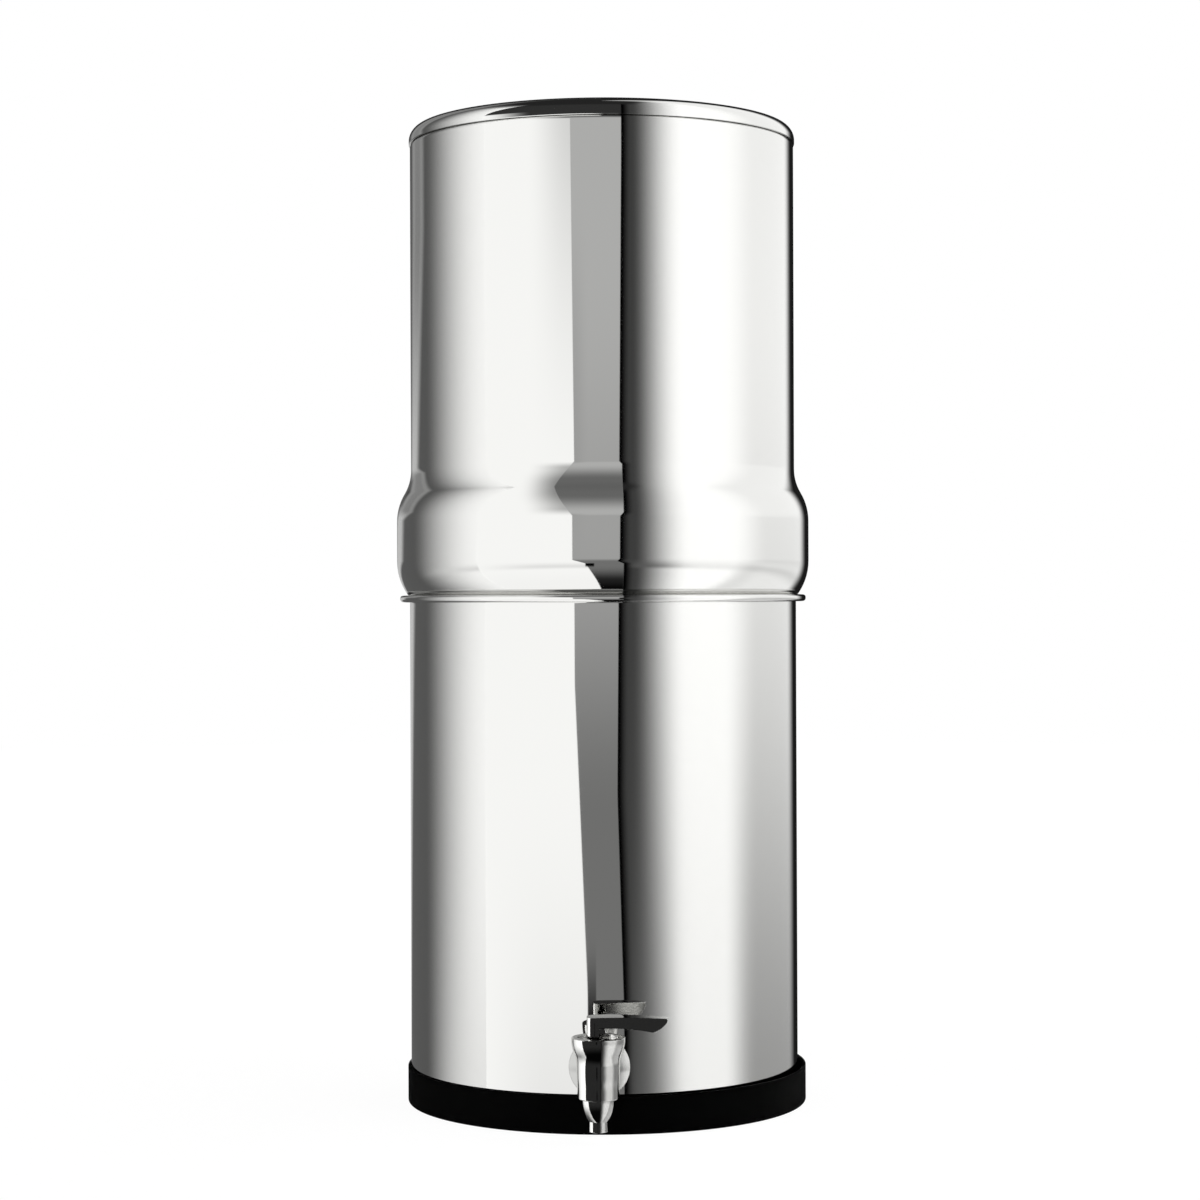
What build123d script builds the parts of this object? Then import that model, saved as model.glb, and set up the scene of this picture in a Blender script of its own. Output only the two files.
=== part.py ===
from build123d import *
import os
from math import acos, asin, cos, degrees, pi, radians, sin, sqrt, tan

# A gravity water purifier: two stacked stainless tanks with a lid, a rubber base ring and a lever tap.
# Millimetres. +Z is up, the origin is on the tanks' axis at table level, the tap stands out along -Y
# and its lever points along +X.

# Clearances
seat_gap = 0.35          # between a lifted part and what it rests on
thread_gap = 0.05        # radial, between a screwed or pressed piece and its hole
running_gap = 0.1        # between the tap's turning or sliding pieces
contact_gap = 0.2        # between the lever's heel and the bonnet

# Sheet steel of the tanks and the lid
sheet = 0.8

# Lower tank
tank_radius = 112.5
tank_height = 290.4
tank_corner = 6.0        # outside round between floor and wall
rim_reach = 5.65         # how far the rolled rim stands out from the wall
rim_height = 4.1
rim_inner_round = 4.6    # the upper tank sits against this round
rim_outer_round = 1.6
rim_lower_round = 1.8
rim_tuck = 0.5           # gap between the rolled edge and the wall

# Rubber base ring, a little loose and pushed to one side
ring_height = 21.1
ring_wall = 1.75
ring_slack = 1.5
ring_shift = 1.4
ring_lip_width = 14.0
ring_lip = 3.0
ring_round = 1.2
ring_round_share = 0.7   # largest share of the ring's wall that is rounded

# Upper tank
upper_inset = 0.85       # the upper wall stands this far inside the lower one
bulge_overhang = 7.4     # the bulge stands this far outside it
bulge_height = 23.0      # straight part of the bulge
bulge_turn = 33.5        # arc under the bulge
bulge_turn_angle = 45.0
shoulder_outer_turn = 32.0
shoulder_inner_turn = 27.0
upper_wall_height = 186.9
spigot_clearance = 2.6   # round the part that nests in the lower tank
spigot_height = 20.2
spigot_corner = 9.0
spigot_neck_round = 3.0
curl_radius = 3.0        # rolled edge at the top, turned inwards
curl_angle = 250.0

# Lid
lid_lap = 0.65           # the lid stands this far outside the upper wall
lid_shoulder = 8.0
lid_dome_angle = 3.3     # slope of the dome where the shoulder starts
lid_skirt = 2.3          # straight side under the shoulder
lid_overlap = 1.0        # how far the lid hangs below the top of the upper tank
hem_thickness = 0.5
hem_height = 2.0
hem_round = 0.5

# Filters and blocking plugs in the upper tank's floor
filter_wall_gap = 19.5   # between the filters' caps and the wall round the tank's floor
floor_hole = 6.6
block_radius = 33.0
block_height = 215.0
block_bore = 9.0
cap_radius = 33.8
cap_height = 8.0
cap_round = 2.0
cap_socket = 2.0         # how deep the block sits in its caps
base_height = 12.0
stem_radius = 6.3
stem_bore = 3.0
filter_stem_length = 23.0
washer_radius = 13.0
washer_height = 2.5
wing_hub_radius = 10.5
wing_hub_height = 8.0
wing_span = 30.0
wing_height = 14.0
wing_thickness = 3.2
plug_head_radius = 11.5
plug_head_height = 5.0
plug_stem_length = 15.0
plug_nut_width = 19.0    # across flats
plug_nut_height = 6.0

# Tap: where it stands
tap_height = 37.0        # hole in the lower tank
tap_reach = 26.5         # from the tank's wall to the tap's own axis

# Tap body
body_top_radius = 14.5
body_waist_radius = 11.75
body_foot_radius = 11.3
body_rise = 20.0         # above the hole's height
body_drop = 13.0         # below it
body_waist_rise = 5.0    # where the flare starts
body_flare_turn = 16.0
body_top_turn = 21.5
body_side_turn = 75.0    # both arcs of the swelling between foot and waist
body_foot_height = 3.0
body_chamber = 8.1
body_foot_round = 0.8
body_rim_round = 0.5
body_port = 5.0          # water way from the tank
neck_radius = 8.6
shank_radius = 7.9
shank_inside = 13.0      # length of the shank inside the tank

# Wall flange, washers and nut
flange_radius = 16.7
flange_edge = 1.2        # straight side of the flange
flange_dome_turn = 32.0
flange_dome = 3.0        # how far the dome stands out beyond the side
flange_round = 0.5
wall_washer_radius = 14.5
wall_washer = 2.0
nut_width = 24.0         # across flats
nut_thickness = 6.0
relief_gap = 1.2         # between the flange and the relief in the base ring

# Outlet
outlet_radius = 9.15
outlet_turn = 20.0
spout_radius = 5.15
spout_bore = 3.9
spout_length = 5.7
outlet_neck = 4.0        # part that screws up into the body
seat_lip_radius = 5.3
seat_lip = 1.2

# Bonnet
bonnet_radius = 11.0
bonnet_height = 5.0
bonnet_recess = 1.4      # below the body's rim
seal_wire = 0.9
seal_groove_height = 2.0

# Tap stem and what it carries
shaft_radius = 2.5
slip_washer_radius = 6.6
slip_washer = 1.0
spring_seat_radius = 6.4
spring_seat = 1.2
spring_length = 12.4
spring_coil_radius = 4.6
spring_wire = 0.5
spring_turns = 6.5
shoulder_radius = 3.6
shoulder_height = 2.0
foot_radius = 3.6
foot_height = 1.5
foot_neck_radius = 2.0
cup_radius = 6.0
cup_floor = 1.9
cup_height = 4.4

# Stem head, a flat tongue between the lever's cheeks
head_thickness = 5.0
head_top_radius = 1.9
bead_drop = 4.7          # from the pin down to the middle of the bead
bead_half_width = 4.6
bead_half_height = 2.2

# Lever and its pin
pin_rise = 8.9           # above the bonnet
pin_radius = 1.0
lever_width = 13.0
lever_slot = 5.4
slot_play = 0.25
lever_reach = 38.0       # from the pin to the tip
lever_top = 3.4          # above the pin
tip_top = 2.7
tip_bulge = (35.0, -1.7)
lever_deep = (29.3, -4.6)
arch_middle = (16.0, -2.6)
arch_start = (4.0, -2.1)
lever_crown = 0.15
heel_front = 0.6
heel_rear_corner = 4.5   # seen from above
taper_start = 4.5        # from the pin to where the sides begin to taper
tip_half_width = 3.9
tip_corner = 1.3
heel_turn = 22.5         # share of the tilt that the heel's curve follows, degrees
lift_per_radian = 2.6    # stem travel for each radian of tilt

# Radii and heights worked out from the sizes above
upper_radius = tank_radius - upper_inset
bulge_radius = tank_radius + bulge_overhang
spigot_radius = tank_radius - sheet - spigot_clearance
lid_radius = upper_radius + lid_lap
filter_circle = spigot_radius - sheet - filter_wall_gap - cap_radius
lower_floor = ring_lip
rim_top = lower_floor + tank_height
rim_corner = (tank_radius - sheet + rim_inner_round, rim_top - rim_inner_round)
bulge_turn_centre = bulge_radius - bulge_turn
bulge_low = rim_corner[1] + sqrt(
    (bulge_turn + rim_inner_round + seat_gap) ** 2 - (rim_corner[0] - bulge_turn_centre) ** 2
)
bulge_high = bulge_low + bulge_height
bulge_corner = bulge_low - bulge_turn * tan(radians(bulge_turn_angle / 2))
spigot_neck = bulge_corner - (bulge_radius - spigot_radius) / tan(radians(bulge_turn_angle))
upper_floor = spigot_neck - spigot_height
shoulder_angle = acos(1 - (bulge_radius - upper_radius) / (shoulder_outer_turn + shoulder_inner_turn))
shoulder_high = bulge_high + (shoulder_outer_turn + shoulder_inner_turn) * sin(shoulder_angle)
curl_centre = (upper_radius - curl_radius, shoulder_high + upper_wall_height)
upper_top = curl_centre[1] + curl_radius
lid_bottom = upper_top - lid_overlap
floor_inside = upper_floor + sheet
base_bottom = floor_inside + washer_height
block_bottom = base_bottom + base_height - cap_socket
block_top = block_bottom + block_height

tap_y = -(tank_radius + tap_reach)
body_top = tap_height + body_rise
body_bottom = tap_height - body_drop
body_waist = tap_height + body_waist_rise
bonnet_top = body_top - bonnet_recess
bonnet_bottom = bonnet_top - bonnet_height
spout_top = body_bottom - sqrt(outlet_turn ** 2 - (outlet_turn - outlet_radius + spout_radius) ** 2)
spout_bottom = spout_top - spout_length
seat_top = body_bottom + outlet_neck + seat_lip
slip_washer_top = bonnet_bottom - running_gap
spring_top = slip_washer_top - slip_washer
spring_bottom = spring_top - spring_length
spring_seat_bottom = spring_bottom - spring_seat
cup_bottom = seat_top + thread_gap
foot_bottom = cup_bottom + cup_floor
pin_height = bonnet_top + pin_rise
bead_middle = pin_height - bead_drop
flange_face = tank_radius + wall_washer
flange_front = flange_face + flange_edge + flange_dome


def turned(outline):
    """Solid of revolution about Z from a closed outline of (radius, height) points."""
    return revolve(Plane.XZ * outline, Axis.Z)


def drawn_sheet(skin, side):
    """Outline of a steel sheet on one side of the wire that gives one of its faces."""
    return make_face(skin.offset_2d(sheet, side=side, kind=Kind.ARC).edges())


def disc(radius, bottom, top, bore=0.0):
    """Flat round piece on the Z axis, with a bore where one is given."""
    piece = Pos(0, 0, bottom) * extrude(Circle(radius), top - bottom)
    if bore > 0:
        piece -= Pos(0, 0, bottom) * extrude(Circle(bore), top - bottom)
    return piece


def along_y(sketch, near, far):
    """Prism of a sketch at the tap's height, from one distance in front of the tank's axis to another."""
    return extrude(Plane((0, -near, tap_height), x_dir=(1, 0, 0), z_dir=(0, -1, 0)) * sketch, far - near)


def cutter(radius, depth):
    """Cylinder at the tap's height that goes through the lower tank's wall, a depth to each side of it."""
    return along_y(Circle(radius), tank_radius - depth, tank_radius + depth)


def at_tap(piece):
    """Move a piece from the origin's axis to the tap's own axis."""
    return Pos(0, tap_y, 0) * piece


def base_ring():
    """L-shaped rubber ring around and under the lower tank, with a relief behind the tap's flange."""
    inner = tank_radius + ring_slack
    outer = inner + ring_wall
    ring = turned(
        make_face(
            Polyline(
                (tank_radius - ring_lip_width, 0),
                (outer, 0),
                (outer, ring_height),
                (inner, ring_height),
                (inner, ring_lip),
                (tank_radius - ring_lip_width, ring_lip),
                close=True,
            )
        )
    )
    outside = ring.edges().filter_by(GeomType.CIRCLE).group_by(SortBy.RADIUS)[-1]
    ring = fillet(outside, min(ring_round, ring_wall * ring_round_share))
    relief = cutter(flange_radius + relief_gap, ring_slack + ring_wall + ring_shift)
    return Pos(ring_shift, 0, 0) * ring - relief


def lower_chamber():
    """Lower tank: floor, wall and a rim rolled outwards, with the hole for the tap."""
    inside = tank_radius - sheet
    tip = tank_radius + rim_reach
    edge = tank_radius + rim_tuck
    skin = FilletPolyline(
        (0, lower_floor + sheet),
        (inside, lower_floor + sheet),
        (inside, rim_top),
        (tip, rim_top),
        (tip, rim_top - rim_height),
        (edge, rim_top - rim_height),
        radius=[tank_corner - sheet, rim_inner_round, rim_outer_round, rim_lower_round],
    )
    return turned(drawn_sheet(skin.wire(), Side.RIGHT)) - cutter(shank_radius + contact_gap, shank_inside)


def upper_chamber():
    """Upper tank: nesting spigot, bulge, shoulder, wall and a rolled edge, with four floor holes."""
    skin = FilletPolyline(
        (0, upper_floor),
        (spigot_radius, upper_floor),
        (spigot_radius, spigot_neck),
        (bulge_radius, bulge_corner),
        (bulge_radius, bulge_high),
        radius=[spigot_corner, spigot_neck_round, bulge_turn],
    )
    shoulder_out = JernArc(skin @ 1, (0, 1), shoulder_outer_turn, degrees(shoulder_angle))
    shoulder_in = JernArc(shoulder_out @ 1, shoulder_out % 1, shoulder_inner_turn, -degrees(shoulder_angle))
    wall = Line(shoulder_in @ 1, (upper_radius, curl_centre[1]))
    curl = CenterArc(curl_centre, curl_radius, 0, curl_angle)
    skin = Wire([*skin.edges(), shoulder_out.edge(), shoulder_in.edge(), wall.edge(), curl.edge()])
    tank = turned(drawn_sheet(skin, Side.RIGHT))
    for turn in range(4):
        x = filter_circle * cos(turn * pi / 2)
        y = filter_circle * sin(turn * pi / 2)
        tank -= Pos(x, y, upper_floor - sheet) * extrude(Circle(floor_hole), 3 * sheet)
    return tank


def lid():
    """Shallow domed lid with a rounded shoulder and a hemmed edge that drops over the curl."""
    shoulder_start = (lid_radius, lid_bottom + lid_skirt)
    side = Line((lid_radius, lid_bottom), shoulder_start)
    shoulder = JernArc(shoulder_start, (0, 1), lid_shoulder, 90 - lid_dome_angle)
    dome_start = shoulder @ 1
    dome = JernArc(dome_start, shoulder % 1, dome_start.X / sin(radians(lid_dome_angle)), lid_dome_angle)
    skin = Wire([side.edge(), shoulder.edge(), dome.edge()])
    outline = drawn_sheet(skin, Side.LEFT)
    hem_width = sheet / 2 + hem_thickness
    hem_middle = (lid_radius - sheet / 2 - hem_width / 2, lid_bottom + hem_height / 2)
    outline += Pos(*hem_middle) * Rectangle(hem_width, hem_height)
    return turned(fillet(outline.vertices().group_by(Axis.Y)[0], hem_round))


def filter_block():
    """Hollow carbon block."""
    return disc(block_radius, block_bottom, block_top, block_bore)


def filter_top_cap():
    """Plastic cap that closes the block's top."""
    top = block_top + cap_height - cap_socket
    cap = disc(cap_radius, block_top - cap_socket, top)
    cap = fillet(cap.edges().filter_by(GeomType.CIRCLE).group_by(Axis.Z)[-1], cap_round)
    return cap - disc(block_radius + thread_gap, block_top - cap_socket, block_top)


def filter_base():
    """Plastic base of the block, with the hollow stem that goes through the tank's floor."""
    base = disc(cap_radius, base_bottom, base_bottom + base_height)
    base = fillet(base.edges().filter_by(GeomType.CIRCLE).group_by(Axis.Z)[0], cap_round)
    base -= disc(block_radius + thread_gap, block_bottom, base_bottom + base_height)
    base += disc(stem_radius, base_bottom - washer_height - filter_stem_length, base_bottom + cap_round)
    return base - disc(stem_bore, base_bottom - washer_height - filter_stem_length, block_bottom)


def floor_washer():
    """Soft washer between the tank's floor and what stands on it."""
    return disc(washer_radius, floor_inside, base_bottom, stem_radius + thread_gap)


def wing_nut():
    """Nut with two wings, tightened by hand under the tank's floor."""
    nut = disc(wing_hub_radius, upper_floor - wing_hub_height, upper_floor)
    wing = RectangleRounded(wing_span, wing_height, wing_height / 3)
    wings = extrude(Plane.XZ * wing, wing_thickness / 2, both=True)
    nut += Pos(0, 0, upper_floor - wing_height / 2 - running_gap) * wings
    return nut - disc(stem_radius + thread_gap, upper_floor - 2 * wing_height, upper_floor)


def blocking_plug():
    """Plug that closes a floor hole where no filter stands."""
    head = disc(plug_head_radius, base_bottom, base_bottom + plug_head_height)
    head = fillet(head.edges().filter_by(GeomType.CIRCLE).group_by(Axis.Z)[-1], cap_round)
    return head + disc(stem_radius, base_bottom - washer_height - plug_stem_length, base_bottom + cap_round)


def plug_nut():
    """Hexagon nut under a blocking plug."""
    hexagon = RegularPolygon(plug_nut_width / 2, 6, major_radius=False)
    nut = Pos(0, 0, upper_floor - plug_nut_height) * extrude(hexagon, plug_nut_height)
    return nut - disc(stem_radius + thread_gap, upper_floor - plug_nut_height, upper_floor)


def tap_body():
    """Tap body: a bell that flares to its top, the neck towards the tank and the threaded shank."""
    swell = degrees(acos(1 - (body_waist_radius - body_foot_radius) / (2 * body_side_turn)))
    turn = degrees(acos(1 - (body_top_radius - body_waist_radius) / (body_flare_turn + body_top_turn)))
    foot = Line((body_foot_radius, body_bottom), (body_foot_radius, body_bottom + body_foot_height))
    swell_out = JernArc(foot @ 1, (0, 1), body_side_turn, -swell)
    swell_in = JernArc(swell_out @ 1, swell_out % 1, body_side_turn, swell)
    waist = Line(swell_in @ 1, (body_waist_radius, body_waist))
    flare = JernArc(waist @ 1, (0, 1), body_flare_turn, -turn)
    top_turn = JernArc(flare @ 1, flare % 1, body_top_turn, turn)
    side = Line(top_turn @ 1, (body_top_radius, body_top))
    inside = Polyline(side @ 1, (0, body_top), (0, body_bottom), foot @ 0)
    outline = [foot, swell_out, swell_in, waist, flare, top_turn, side, inside]
    bell = turned(make_face([edge for step in outline for edge in step.edges()]))
    foot_edge = bell.edges().filter_by(GeomType.CIRCLE).group_by(Axis.Z)[0]
    bell = fillet(foot_edge, body_foot_round)
    rim_edge = bell.edges().filter_by(GeomType.CIRCLE).group_by(Axis.Z)[-1]
    bell = fillet(rim_edge, body_rim_round)
    body = at_tap(bell)
    body += along_y(Circle(neck_radius), flange_front, -tap_y)
    body += along_y(Circle(shank_radius), tank_radius - shank_inside, flange_front)
    body -= at_tap(disc(body_chamber, body_bottom, bonnet_bottom))
    body -= at_tap(disc(bonnet_radius + thread_gap, bonnet_bottom, body_top))
    return body - along_y(Circle(body_port), tank_radius - shank_inside, -tap_y)


def tap_wall_flange():
    """Round flange with a domed face that hides the hole in the tank."""
    inner = shank_radius + thread_gap
    thickness = flange_edge + flange_dome
    dome = RadiusArc((flange_radius, flange_edge), (inner, thickness), -flange_dome_turn)
    sides = Polyline((inner, thickness), (inner, 0), (flange_radius, 0), (flange_radius, flange_edge))
    outline = make_face([*dome.edges(), *sides.edges()])
    rim = outline.vertices().sort_by_distance((flange_radius, flange_edge, 0))[0]
    return Pos(0, -flange_face, tap_height) * Rot(90, 0, 0) * turned(fillet(rim, flange_round))


def tap_outer_washer():
    """Silicone washer between the flange and the tank, shaped to the wall."""
    washer = along_y(Circle(wall_washer_radius), tank_radius - 3 * sheet, flange_face)
    washer -= along_y(Circle(shank_radius + thread_gap), tank_radius - 3 * sheet, flange_face)
    return washer - disc(tank_radius + thread_gap, 0, 2 * tap_height)


def tap_inner_washer():
    """Silicone washer against the tank's inner wall."""
    inside = tank_radius - sheet - thread_gap
    washer = along_y(Circle(wall_washer_radius), inside - wall_washer, tank_radius)
    washer -= along_y(Circle(shank_radius + thread_gap), inside - wall_washer, tank_radius)
    return washer & disc(inside, 0, 2 * tap_height)


def tap_nut():
    """Hexagon nut that clamps the tap from inside the tank."""
    back = tank_radius - sheet - thread_gap - wall_washer
    hexagon = RegularPolygon(nut_width / 2, 6, major_radius=False)
    nut = along_y(hexagon, back - nut_thickness, back)
    return nut - along_y(Circle(shank_radius + thread_gap), back - nut_thickness, back)


def tap_outlet():
    """Rounded outlet with its spout and the raised valve seat, screwed into the body."""
    centre = (outlet_radius - outlet_turn, body_bottom)
    bottom_angle = degrees(asin((spout_top - body_bottom) / outlet_turn))
    curve = CenterArc(centre, outlet_turn, bottom_angle, -bottom_angle)
    sides = Polyline(
        curve @ 1,
        (0, body_bottom),
        (0, spout_bottom),
        (spout_radius, spout_bottom),
        curve @ 0,
    )
    outlet = turned(make_face([*curve.edges(), *sides.edges()]))
    outlet += disc(body_chamber - thread_gap, body_bottom, body_bottom + outlet_neck)
    outlet += disc(seat_lip_radius, body_bottom + outlet_neck, seat_top)
    return at_tap(outlet - disc(spout_bore, spout_bottom, seat_top))


def seal_height():
    """Height of the middle of the gland seal, half way up the bonnet."""
    return bonnet_bottom + bonnet_height / 2


def tap_bonnet():
    """Bonnet screwed into the top of the body, with the stem's bore and a groove for its seal."""
    bonnet = disc(bonnet_radius, bonnet_bottom, bonnet_top, shaft_radius + running_gap)
    groove = disc(
        shaft_radius + running_gap + 2 * seal_wire,
        seal_height() - seal_groove_height / 2,
        seal_height() + seal_groove_height / 2,
    )
    return at_tap(bonnet - groove)


def tap_gland_seal():
    """O-ring around the stem, in the bonnet."""
    return at_tap(Pos(0, 0, seal_height()) * Torus(shaft_radius + thread_gap + seal_wire, seal_wire))


def tap_slip_washer():
    """Washer above the spring that turns with the stem under the bonnet."""
    return at_tap(disc(slip_washer_radius, spring_top, slip_washer_top, shaft_radius + running_gap))


def tap_spring():
    """Compression spring that holds the valve shut."""
    rise = spring_length - 2 * spring_wire
    coil = Helix(pitch=rise / spring_turns, height=rise, radius=spring_coil_radius)
    wire = Plane(origin=coil @ 0, z_dir=coil % 0) * Circle(spring_wire)
    return at_tap(Pos(0, 0, spring_bottom + spring_wire) * sweep(wire, path=coil))


def tap_spring_seat():
    """Washer under the spring, on the stem's shoulder."""
    return at_tap(disc(spring_seat_radius, spring_seat_bottom, spring_bottom, shaft_radius + thread_gap))


def tap_seat_cup():
    """Silicone cup that closes on the outlet's seat, with the stem's foot inside."""
    cup = disc(cup_radius, cup_bottom, cup_bottom + cup_height)
    cup -= disc(foot_radius + thread_gap, foot_bottom, foot_bottom + foot_height + 2 * thread_gap)
    return at_tap(cup - disc(foot_neck_radius + thread_gap, foot_bottom, cup_bottom + cup_height))


def tap_stem():
    """Valve stem: foot, shoulder, shaft and the flat head that the lever's pin goes through."""
    stem = disc(foot_radius, foot_bottom + thread_gap, foot_bottom + foot_height)
    stem += disc(foot_neck_radius, foot_bottom + foot_height, spring_seat_bottom - shoulder_height)
    stem += disc(shoulder_radius, spring_seat_bottom - shoulder_height, spring_seat_bottom)
    stem += disc(shaft_radius, spring_seat_bottom, bead_middle)
    bead_side = bead_half_width - bead_half_height
    head = Pos(0, bead_middle) * SlotCenterToCenter(2 * bead_side, 2 * bead_half_height)
    head += Pos(0, pin_height) * Circle(head_top_radius)
    head += Pos(0, (bead_middle + pin_height) / 2) * Rectangle(2 * head_top_radius, bead_drop)
    stem += extrude(Plane.XZ * head, head_thickness / 2, both=True)
    pin_hole = Plane.XZ * Pos(0, pin_height) * Circle(pin_radius + thread_gap)
    return at_tap(stem - extrude(pin_hole, head_thickness, both=True))


def heel_point(angle):
    """Point of the heel's curve at one tilt: it keeps one distance to the bonnet as the stem lifts."""
    support = pin_rise - contact_gap + lift_per_radian * angle
    along = -support * sin(angle) - lift_per_radian * cos(angle)
    up = -support * cos(angle) + lift_per_radian * sin(angle)
    return Vector(along, up)


def lever_side():
    """Side outline of the lever, from the pin: curved heel, arched handle and slanted, rounded tip."""
    heel = [heel_point(radians(heel_turn) * step / 6) for step in range(7)]
    rear = heel[-1].X
    heel_curve = Spline(heel)
    back = Polyline(heel[-1], (rear, lever_top))
    crown = (lever_reach / 2, lever_top + lever_crown)
    top = ThreePointArc((rear, lever_top), crown, (lever_reach, tip_top))
    tip = ThreePointArc((lever_reach, tip_top), tip_bulge, lever_deep)
    arch = ThreePointArc(lever_deep, arch_middle, arch_start)
    front = Polyline(arch_start, (heel_front, arch_start[1]), (heel_front, heel[0].Y), heel[0])
    outline = [heel_curve, back, top, tip, arch, front]
    return make_face([edge for step in outline for edge in step.edges()])


def lever_plan():
    """Outline of the lever from above: rounded rear corners and sides that taper to the tip."""
    rear = heel_point(radians(heel_turn)).X
    half = lever_width / 2
    wide = Polyline(
        (rear, -half),
        (taper_start, -half),
        (lever_reach, -tip_half_width),
        (lever_reach, tip_half_width),
        (taper_start, half),
        (rear, half),
        close=True,
    )
    plan = make_face(wide)
    plan = fillet(plan.vertices().group_by(Axis.X)[0], heel_rear_corner)
    return fillet(plan.vertices().group_by(Axis.X)[-1], tip_corner)


def tap_lever():
    """Cast lever: a fork over the stem's head, a heel that rocks on the bonnet and an arched handle."""
    side = extrude(Plane.XZ * Pos(0, pin_height) * lever_side(), lever_width, both=True)
    plan = Pos(0, 0, bonnet_top - 1) * extrude(lever_plan(), 3 * pin_rise)
    slot_half = head_top_radius + slot_play
    slot = Pos(0, pin_height) * Circle(slot_half)
    slot += Pos(-lever_width / 2, pin_height - pin_rise + slot_half / 2) * Rectangle(
        lever_width, 2 * pin_rise + slot_half
    )
    slot += Pos(0, pin_height - pin_rise) * Rectangle(2 * slot_half, 2 * pin_rise)
    lever = side & plan
    lever -= extrude(Plane.XZ * slot, lever_slot / 2, both=True)
    pin_hole = Plane.XZ * Pos(0, pin_height) * Circle(pin_radius)
    return at_tap(lever - extrude(pin_hole, lever_width, both=True))


def lever_pin():
    """Pin through the lever's cheeks and the stem's head."""
    length = lever_width - 2 * contact_gap
    return at_tap(extrude(Plane.XZ * Pos(0, pin_height) * Circle(pin_radius), length / 2, both=True))


def beside(piece, x, y):
    """Copy of a piece at one of the four floor holes."""
    return Pos(x, y, 0) * piece


def all_pieces():
    """Every piece of the purifier, by its name."""
    pieces = {
        "base_ring": base_ring(),
        "lower_chamber": lower_chamber(),
        "upper_chamber": upper_chamber(),
        "lid": lid(),
        "tap_body": tap_body(),
        "tap_wall_flange": tap_wall_flange(),
        "tap_outer_washer": tap_outer_washer(),
        "tap_inner_washer": tap_inner_washer(),
        "tap_nut": tap_nut(),
        "tap_outlet": tap_outlet(),
        "tap_bonnet": tap_bonnet(),
        "tap_gland_seal": tap_gland_seal(),
        "tap_slip_washer": tap_slip_washer(),
        "tap_spring": tap_spring(),
        "tap_spring_seat": tap_spring_seat(),
        "tap_seat_cup": tap_seat_cup(),
        "tap_stem": tap_stem(),
        "tap_lever": tap_lever(),
        "lever_pin": lever_pin(),
    }
    for side, x in (("left", -filter_circle), ("right", filter_circle)):
        pieces[f"filter_block_{side}"] = beside(filter_block(), x, 0)
        pieces[f"filter_top_cap_{side}"] = beside(filter_top_cap(), x, 0)
        pieces[f"filter_base_{side}"] = beside(filter_base(), x, 0)
        pieces[f"filter_washer_{side}"] = beside(floor_washer(), x, 0)
        pieces[f"wing_nut_{side}"] = beside(wing_nut(), x, 0)
    for side, y in (("front", -filter_circle), ("back", filter_circle)):
        pieces[f"blocking_plug_{side}"] = beside(blocking_plug(), 0, y)
        pieces[f"plug_washer_{side}"] = beside(floor_washer(), 0, y)
        pieces[f"plug_nut_{side}"] = beside(plug_nut(), 0, y)
    return pieces


os.makedirs("parts", exist_ok=True)
for name, piece in all_pieces().items():
    export_step(piece, f"parts/{name}.step")
print(f"bulge from {bulge_low:.2f}, upper floor {upper_floor:.2f}, upper top {upper_top:.2f}")
print(f"lid bottom {lid_bottom:.2f}, bonnet top {bonnet_top:.2f}, pin height {pin_height:.2f}")
print(f"spout bottom {spout_bottom:.2f}, heel rear {heel_point(radians(heel_turn)).X:.2f}")
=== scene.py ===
"""Gravity water purifier: polished chambers, lid, base ring and lever tap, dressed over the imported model."""

import logging
import math
from dataclasses import dataclass
from enum import Enum

import bpy
import numpy as np
from bpy.types import Material, Node, NodeSocket, NodeTree, Object
from mathutils import Matrix


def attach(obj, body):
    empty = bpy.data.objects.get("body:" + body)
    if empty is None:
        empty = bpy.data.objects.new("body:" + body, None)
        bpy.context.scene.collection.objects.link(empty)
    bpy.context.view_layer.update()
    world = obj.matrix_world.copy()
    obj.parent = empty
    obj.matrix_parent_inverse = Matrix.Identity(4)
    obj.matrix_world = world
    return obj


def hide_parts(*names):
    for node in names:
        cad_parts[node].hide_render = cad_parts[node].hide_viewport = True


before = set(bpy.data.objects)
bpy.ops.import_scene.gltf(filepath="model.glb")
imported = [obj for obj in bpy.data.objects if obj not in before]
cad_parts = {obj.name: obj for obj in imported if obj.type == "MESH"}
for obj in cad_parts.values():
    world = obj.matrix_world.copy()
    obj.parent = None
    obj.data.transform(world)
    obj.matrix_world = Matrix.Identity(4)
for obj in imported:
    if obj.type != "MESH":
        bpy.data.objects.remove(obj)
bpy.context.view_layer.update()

log = logging.getLogger("purifier")

MM = 0.001
SHORTEST_STEP = 1e-9
SAME_PLACE = 1e-4
SHARP_ANGLE = math.radians(40)
WHITE = (1.0, 1.0, 1.0, 1.0)

Points = tuple[tuple[float, float], ...]
Source = NodeSocket | Node | float


class Body(Enum):
    """The moving bodies that the pieces ride on."""

    LOWER = "lower_tank"
    UPPER = "upper_tank"
    LID = "lid"
    STEM = "tap_stem"
    LEVER = "tap_lever"


class Grain(Enum):
    """The way that polishing lines run on a piece, as the stretch of the pattern along X, Y and Z."""

    AROUND = (0.02, 0.02, 1.0)
    CAST = (1.0, 1.0, 1.0)


# Colours and nodes


def linear(colour: str) -> tuple[float, float, float, float]:
    """Turns an sRGB hex colour into linear red, green, blue and alpha.

    Args:
        colour: six hex digits after a hash.

    Returns:
        The linear colour with alpha 1.
    """
    parts = [int(colour[i : i + 2], 16) / 255 for i in (1, 3, 5)]
    return tuple(p / 12.92 if p <= 0.04045 else ((p + 0.055) / 1.055) ** 2.4 for p in parts) + (1.0,)


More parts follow.
